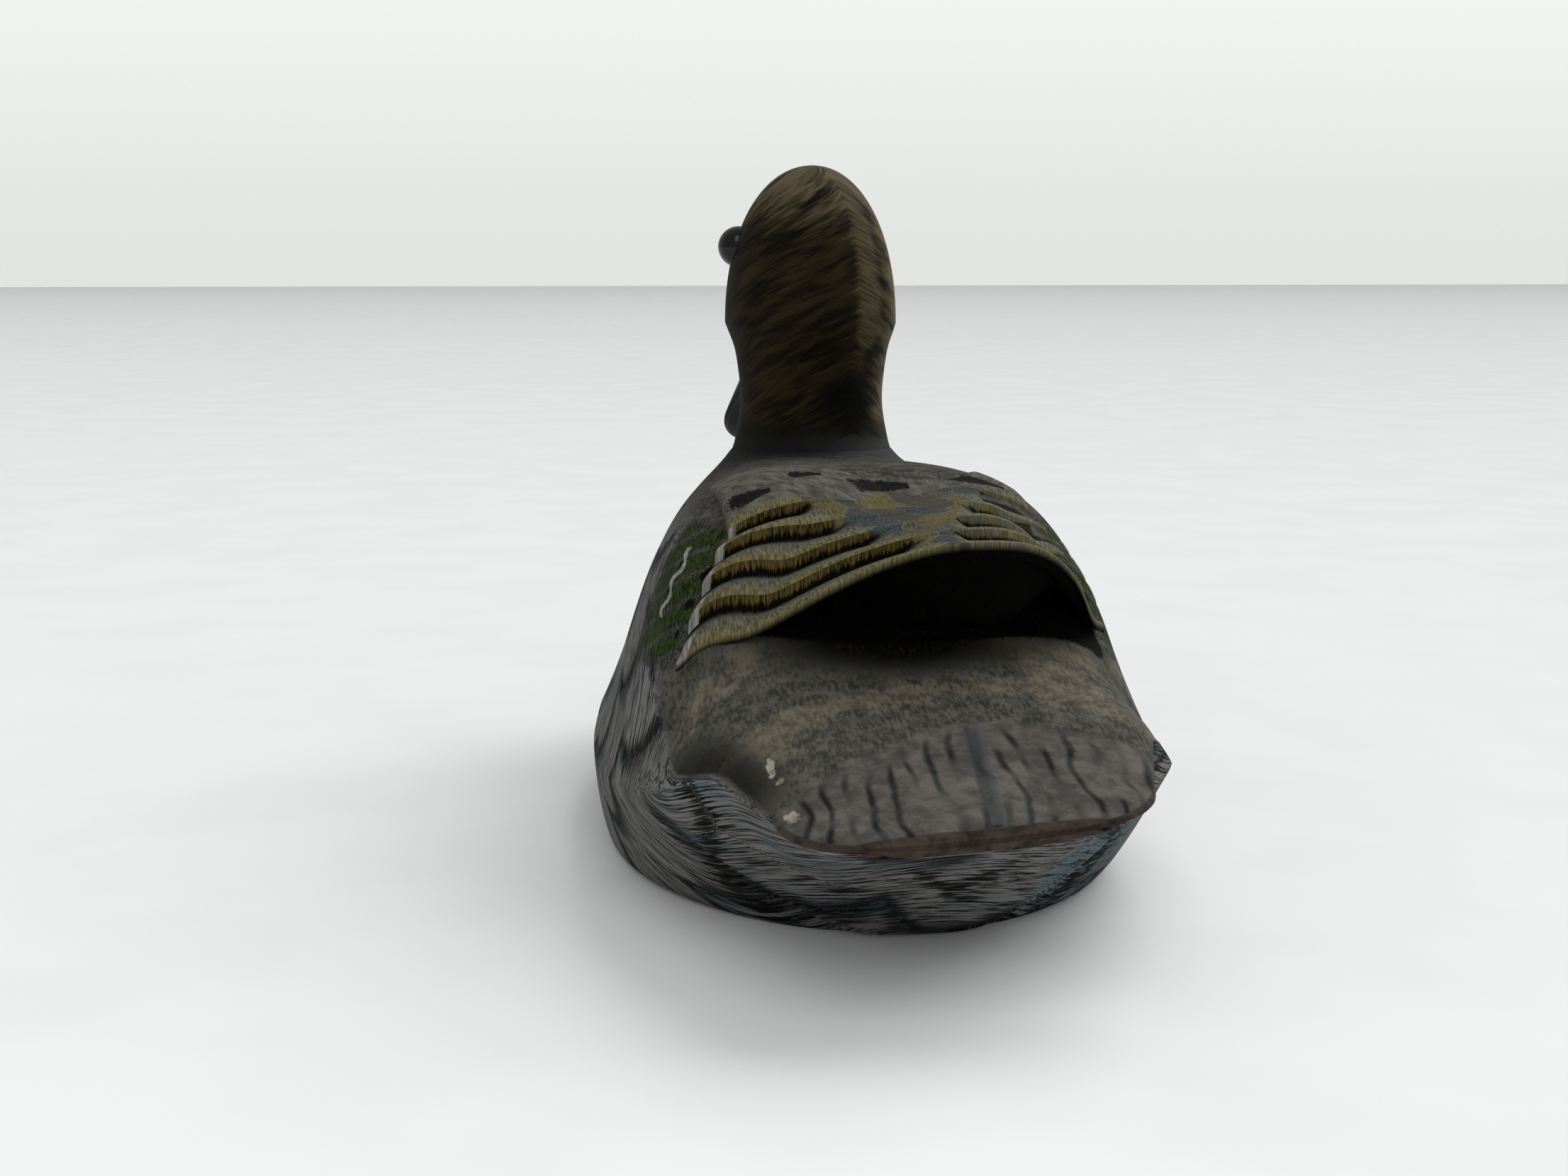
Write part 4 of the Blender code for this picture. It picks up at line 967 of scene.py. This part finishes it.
NECK_TOP = NECK_JOINT + 0.36 * (CHEEK_HEIGHT - NECK_JOINT)
NECK_ROOT = NECK_JOINT - 4
NECK_FOOT = ((NECK_ROOT, 0.56 * NECK_FOOT_WIDTH), (NECK_JOINT, NECK_FOOT_WIDTH / 2))
head_width_line = smooth_line(
    *NECK_FOOT,
    (NECK_TOP, NECK_WIDTH / 2),
    (NECK_TOP + 0.6 * (CHEEK_HEIGHT - NECK_TOP), 0.45 * HEAD_WIDTH),
    (CHEEK_HEIGHT, HEAD_WIDTH / 2),
)
head_back_line = smooth_line(*NECK_FOOT, (NECK_TOP, 0.48 * NECK_WIDTH), (CHEEK_HEIGHT, HEAD_BACK))
head_front_line = smooth_line(
    *NECK_FOOT,
    (NECK_TOP, 0.52 * NECK_WIDTH),
    (NECK_TOP + 0.5 * (CHEEK_HEIGHT - NECK_TOP), 0.72 * HEAD_FRONT),
    (CHEEK_HEIGHT, HEAD_FRONT),
)
heading = Matrix.Translation((0, NECK_Y, 0)) @ Matrix.Rotation(HEAD_TURN, 4, "Z")


def placed(points, matrix):
    """Points moved by a matrix."""
    turn = np.array(matrix.to_3x3())
    return np.asarray(points) @ turn.T + np.array(matrix.translation)


def make_head():
    """Neck and head, whose foot runs down into the body."""
    low = np.linspace(NECK_ROOT, CHEEK_HEIGHT, HEAD_RINGS // 2)
    turn = np.linspace(0, math.pi / 2, HEAD_RINGS // 2 + 1)[1:]
    high = CHEEK_HEIGHT + (HEAD_HEIGHT - CHEEK_HEIGHT) * np.sin(turn)
    levels = np.concatenate([low, high])
    angle = np.linspace(0, 2 * math.pi, HEAD_POINTS, endpoint=False)
    forward = np.sin(angle)
    rings = []
    for z in levels:
        crown = np.clip((z - CHEEK_HEIGHT) / (HEAD_HEIGHT - CHEEK_HEIGHT), 0, 0.9995)
        size = (1 - crown ** CROWN_ROUNDING) ** (1 / CROWN_ROUNDING)
        width, back, front = (line(z) * size for line in (head_width_line, head_back_line, head_front_line))
        rings.append(np.stack([width * np.cos(angle), np.where(forward > 0, front, back) * forward,
                               np.full(HEAD_POINTS, z)], 1))
    points = np.array(rings)
    x, y, z = np.moveaxis(points, 2, 0)

    # Place round the head from the parting at the back, right of the middle
    round_head = np.arctan2(x, -y) - PARTING_TURN
    round_head = (round_head + math.pi) % (2 * math.pi) - math.pi
    swept = np.abs(round_head) * 12
    along = swept + 0.4 * (HEAD_HEIGHT - z)
    across = z + 0.5 * swept
    nape = np.exp(-(round_head / 0.55) ** 2) * bell(z, 59, 9)
    foot = fade(z, 60, 51.5)
    parting = bell(round_head, 0.16, 0.34) * fade(z, 62, 72) * fade(z, 95, 90)
    # Painted light: the right side of the head and the crown are painted lighter
    lit = np.maximum(fade(round_head, 0, 1.2) * fade(round_head, 2.2, 1.4), 0.6 * fade(z, 82, 94))
    attributes = {
        "streak": (along, across, round_head),
        "head zone": (nape, lit, foot),
        "parting": (parting, x),
    }
    return add_mesh("head_skin", placed(points, heading), ring_faces(*x.shape), head_paint(), attributes)


def make_bill():
    """Black bill with nostrils, a mouth line and a nail at the tip."""
    half_width = smooth_line((0, 0.4 * BILL_WIDTH), (0.35, 0.43 * BILL_WIDTH), (0.75, BILL_WIDTH / 2),
                             (1, 0.48 * BILL_WIDTH))
    half_depth = smooth_line((0, BILL_DEPTH / 2), (0.4, 0.4 * BILL_DEPTH), (0.75, 0.6 * BILL_TIP_DEPTH),
                             (1, BILL_TIP_DEPTH / 2))
    angle = np.linspace(0, 2 * math.pi, BILL_POINTS, endpoint=False)
    up = np.sin(angle)
    rings = []
    for along in 1 - np.linspace(1, 0.03, BILL_RINGS) ** 2:
        tip = math.sqrt(1 - max(0, (along - 0.75) / 0.25) ** 2)
        mouth_line = 1 - 0.05 * np.exp(-((up + 0.25) / 0.12) ** 2) * (tip > 0.3)
        nail = 1 + 0.1 * math.exp(-((along - 0.97) / 0.04) ** 2) * np.clip(up, 0, 1)
        nostrils = 1 - 0.13 * math.exp(-((along - 0.45) / 0.035) ** 2) * np.exp(-((up - 0.75) / 0.12) ** 2)
        size = mouth_line * nail * nostrils
        rings.append(np.stack([half_width(along) * tip * np.cos(angle) * size,
                               np.full(BILL_POINTS, along * BILL_LENGTH),
                               half_depth(along) * tip * up * size], 1))
    root = Matrix.Translation((0, BILL_ROOT_FORWARD, BILL_ROOT_HEIGHT))
    points = placed(np.array(rings), heading @ root @ Matrix.Rotation(-BILL_DROP, 4, "X"))
    return add_mesh("bill_skin", points, ring_faces(BILL_RINGS, BILL_POINTS, flip=True), bill_paint(), {})


def make_eye(side):
    """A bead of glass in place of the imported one."""
    low, high = node_span(f"{side}_eye")
    middle, radius = (low + high) / 2, (high - low)[2] / 2
    polar = np.linspace(0.02, math.pi - 0.02, EYE_STEPS // 2)[:, None]
    angle = np.linspace(0, 2 * math.pi, EYE_STEPS, endpoint=False)
    width = np.sin(polar)
    ball = np.stack([width * np.cos(angle), width * np.sin(angle), 0 * angle - np.cos(polar)], 2)
    return add_mesh(f"{side}_bead", middle + radius * ball, ring_faces(len(polar), EYE_STEPS), glass, {})


glass = bead_glass()
body = make_body()
wings = make_wings()
head = make_head()
bill = make_bill()
eyes = {side: make_eye(side) for side in ("left", "right")}

for piece, nodes, slot in (
    (body, ("body_block", "bottom_board"), "body_paint"),
    (head, ("head",), "head_paint"),
    (bill, ("bill",), "bill_paint"),
    (eyes["left"], ("left_eye",), "eye_glass"),
    (eyes["right"], ("right_eye",), "eye_glass"),
):
    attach(piece, "root")
    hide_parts(*nodes)
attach(wings, "root")

for names, material in ((("neck_dowel", "front_body_dowel", "rear_body_dowel"), peg_wood()),
                        (("left_eye_pin", "right_eye_pin"), shank_wire())):
    for name in names:
        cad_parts[name].data.materials.clear()
        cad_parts[name].data.materials.append(material)

# Table, light and camera
FLOOR_SIDE = 9000
FLOOR_BACK = 5600
FLOOR_FRONT = -3000
WALL_HEIGHT = 4000
LAMP_AIM = (0, 0, 0.03)
SUN_STRENGTH = 1.7
LAMP_POWER = 4
SKY_STRENGTH = 0.5


def table_paint():
    """Matt pale board."""
    material, pot = new_paint("pale table")
    cloud = pot.noise(pot.here(), 30.0, 2.0)
    colour = pot.colour((238, 240, 239), (241, 243, 242), cloud.between(0.35, 0.65))
    return feed(material, colour, 0.85 + cloud * 0.05, shine=0.1)


def wall_paint():
    """Pale wall, seen by the camera at one even tone that pales upwards."""
    material, pot = new_paint("pale wall")
    height = pot.here().parts()[2]
    tone = pot.colour((226, 228, 226), (242, 244, 242), height.between(0.0, 0.9))
    shown = pot.node("Emission", {}, {0: tone})
    clear = pot.node("BsdfTransparent")
    seen = pot.node("LightPath")
    blend = pot.node("MixShader", {}, {0: seen, 1: clear, 2: shown})
    pot.tree.links.new(blend.socket, pot.tree.nodes["Material Output"].inputs[0])
    return material


def make_floor():
    """A pale table top that turns up into a pale wall far behind."""
    lines = ((FLOOR_FRONT, 0), (FLOOR_BACK, 0), (FLOOR_BACK, WALL_HEIGHT))
    points = [(x, y, z) for y, z in lines for x in (-FLOOR_SIDE, FLOOR_SIDE)]
    floor = add_mesh("table", points, [(0, 1, 3, 2), (2, 3, 5, 4)], table_paint(), {})
    floor.data.materials.append(wall_paint())
    floor.data.polygons[1].material_index = 1
    return floor


def add_lamp(name, kind, place, energy, **settings):
    """A lamp that looks at the duck."""
    lamp = bpy.data.lights.new(name, kind)
    lamp.energy = energy
    for key, value in settings.items():
        setattr(lamp, key, value)
    holder = bpy.data.objects.new(name, lamp)
    holder.location = place
    holder.rotation_euler = (Vector(LAMP_AIM) - Vector(place)).to_track_quat("-Z", "Y").to_euler()
    bpy.context.scene.collection.objects.link(holder)


make_floor()
add_lamp("window", "SUN", (0.9, 0.5, 1.2), SUN_STRENGTH, angle=0.9)
add_lamp("room", "AREA", (-0.1, -0.9, 1.1), LAMP_POWER, size=0.9)

world = bpy.data.worlds.new("room light")
bpy.context.scene.world = world
world.use_nodes = True
sky = world.node_tree.nodes["Background"]
sky.inputs["Color"].default_value = (1, 1, 1, 1)
sky.inputs["Strength"].default_value = SKY_STRENGTH

lens = bpy.data.cameras.new("photograph")
lens.sensor_fit = "HORIZONTAL"
lens.sensor_width = SENSOR_WIDTH
lens.lens = FOCAL_PIXELS / PHOTO_WIDTH * SENSOR_WIDTH
lens.clip_start = 0.01
camera = bpy.data.objects.new("photograph", lens)
camera.location = [c * MM for c in CAMERA_PLACE]
camera.rotation_euler = (math.pi / 2 - CAMERA_PITCH, 0, -CAMERA_YAW)
bpy.context.scene.collection.objects.link(camera)
bpy.context.scene.camera = camera
bpy.context.scene.view_settings.view_transform = "Standard"
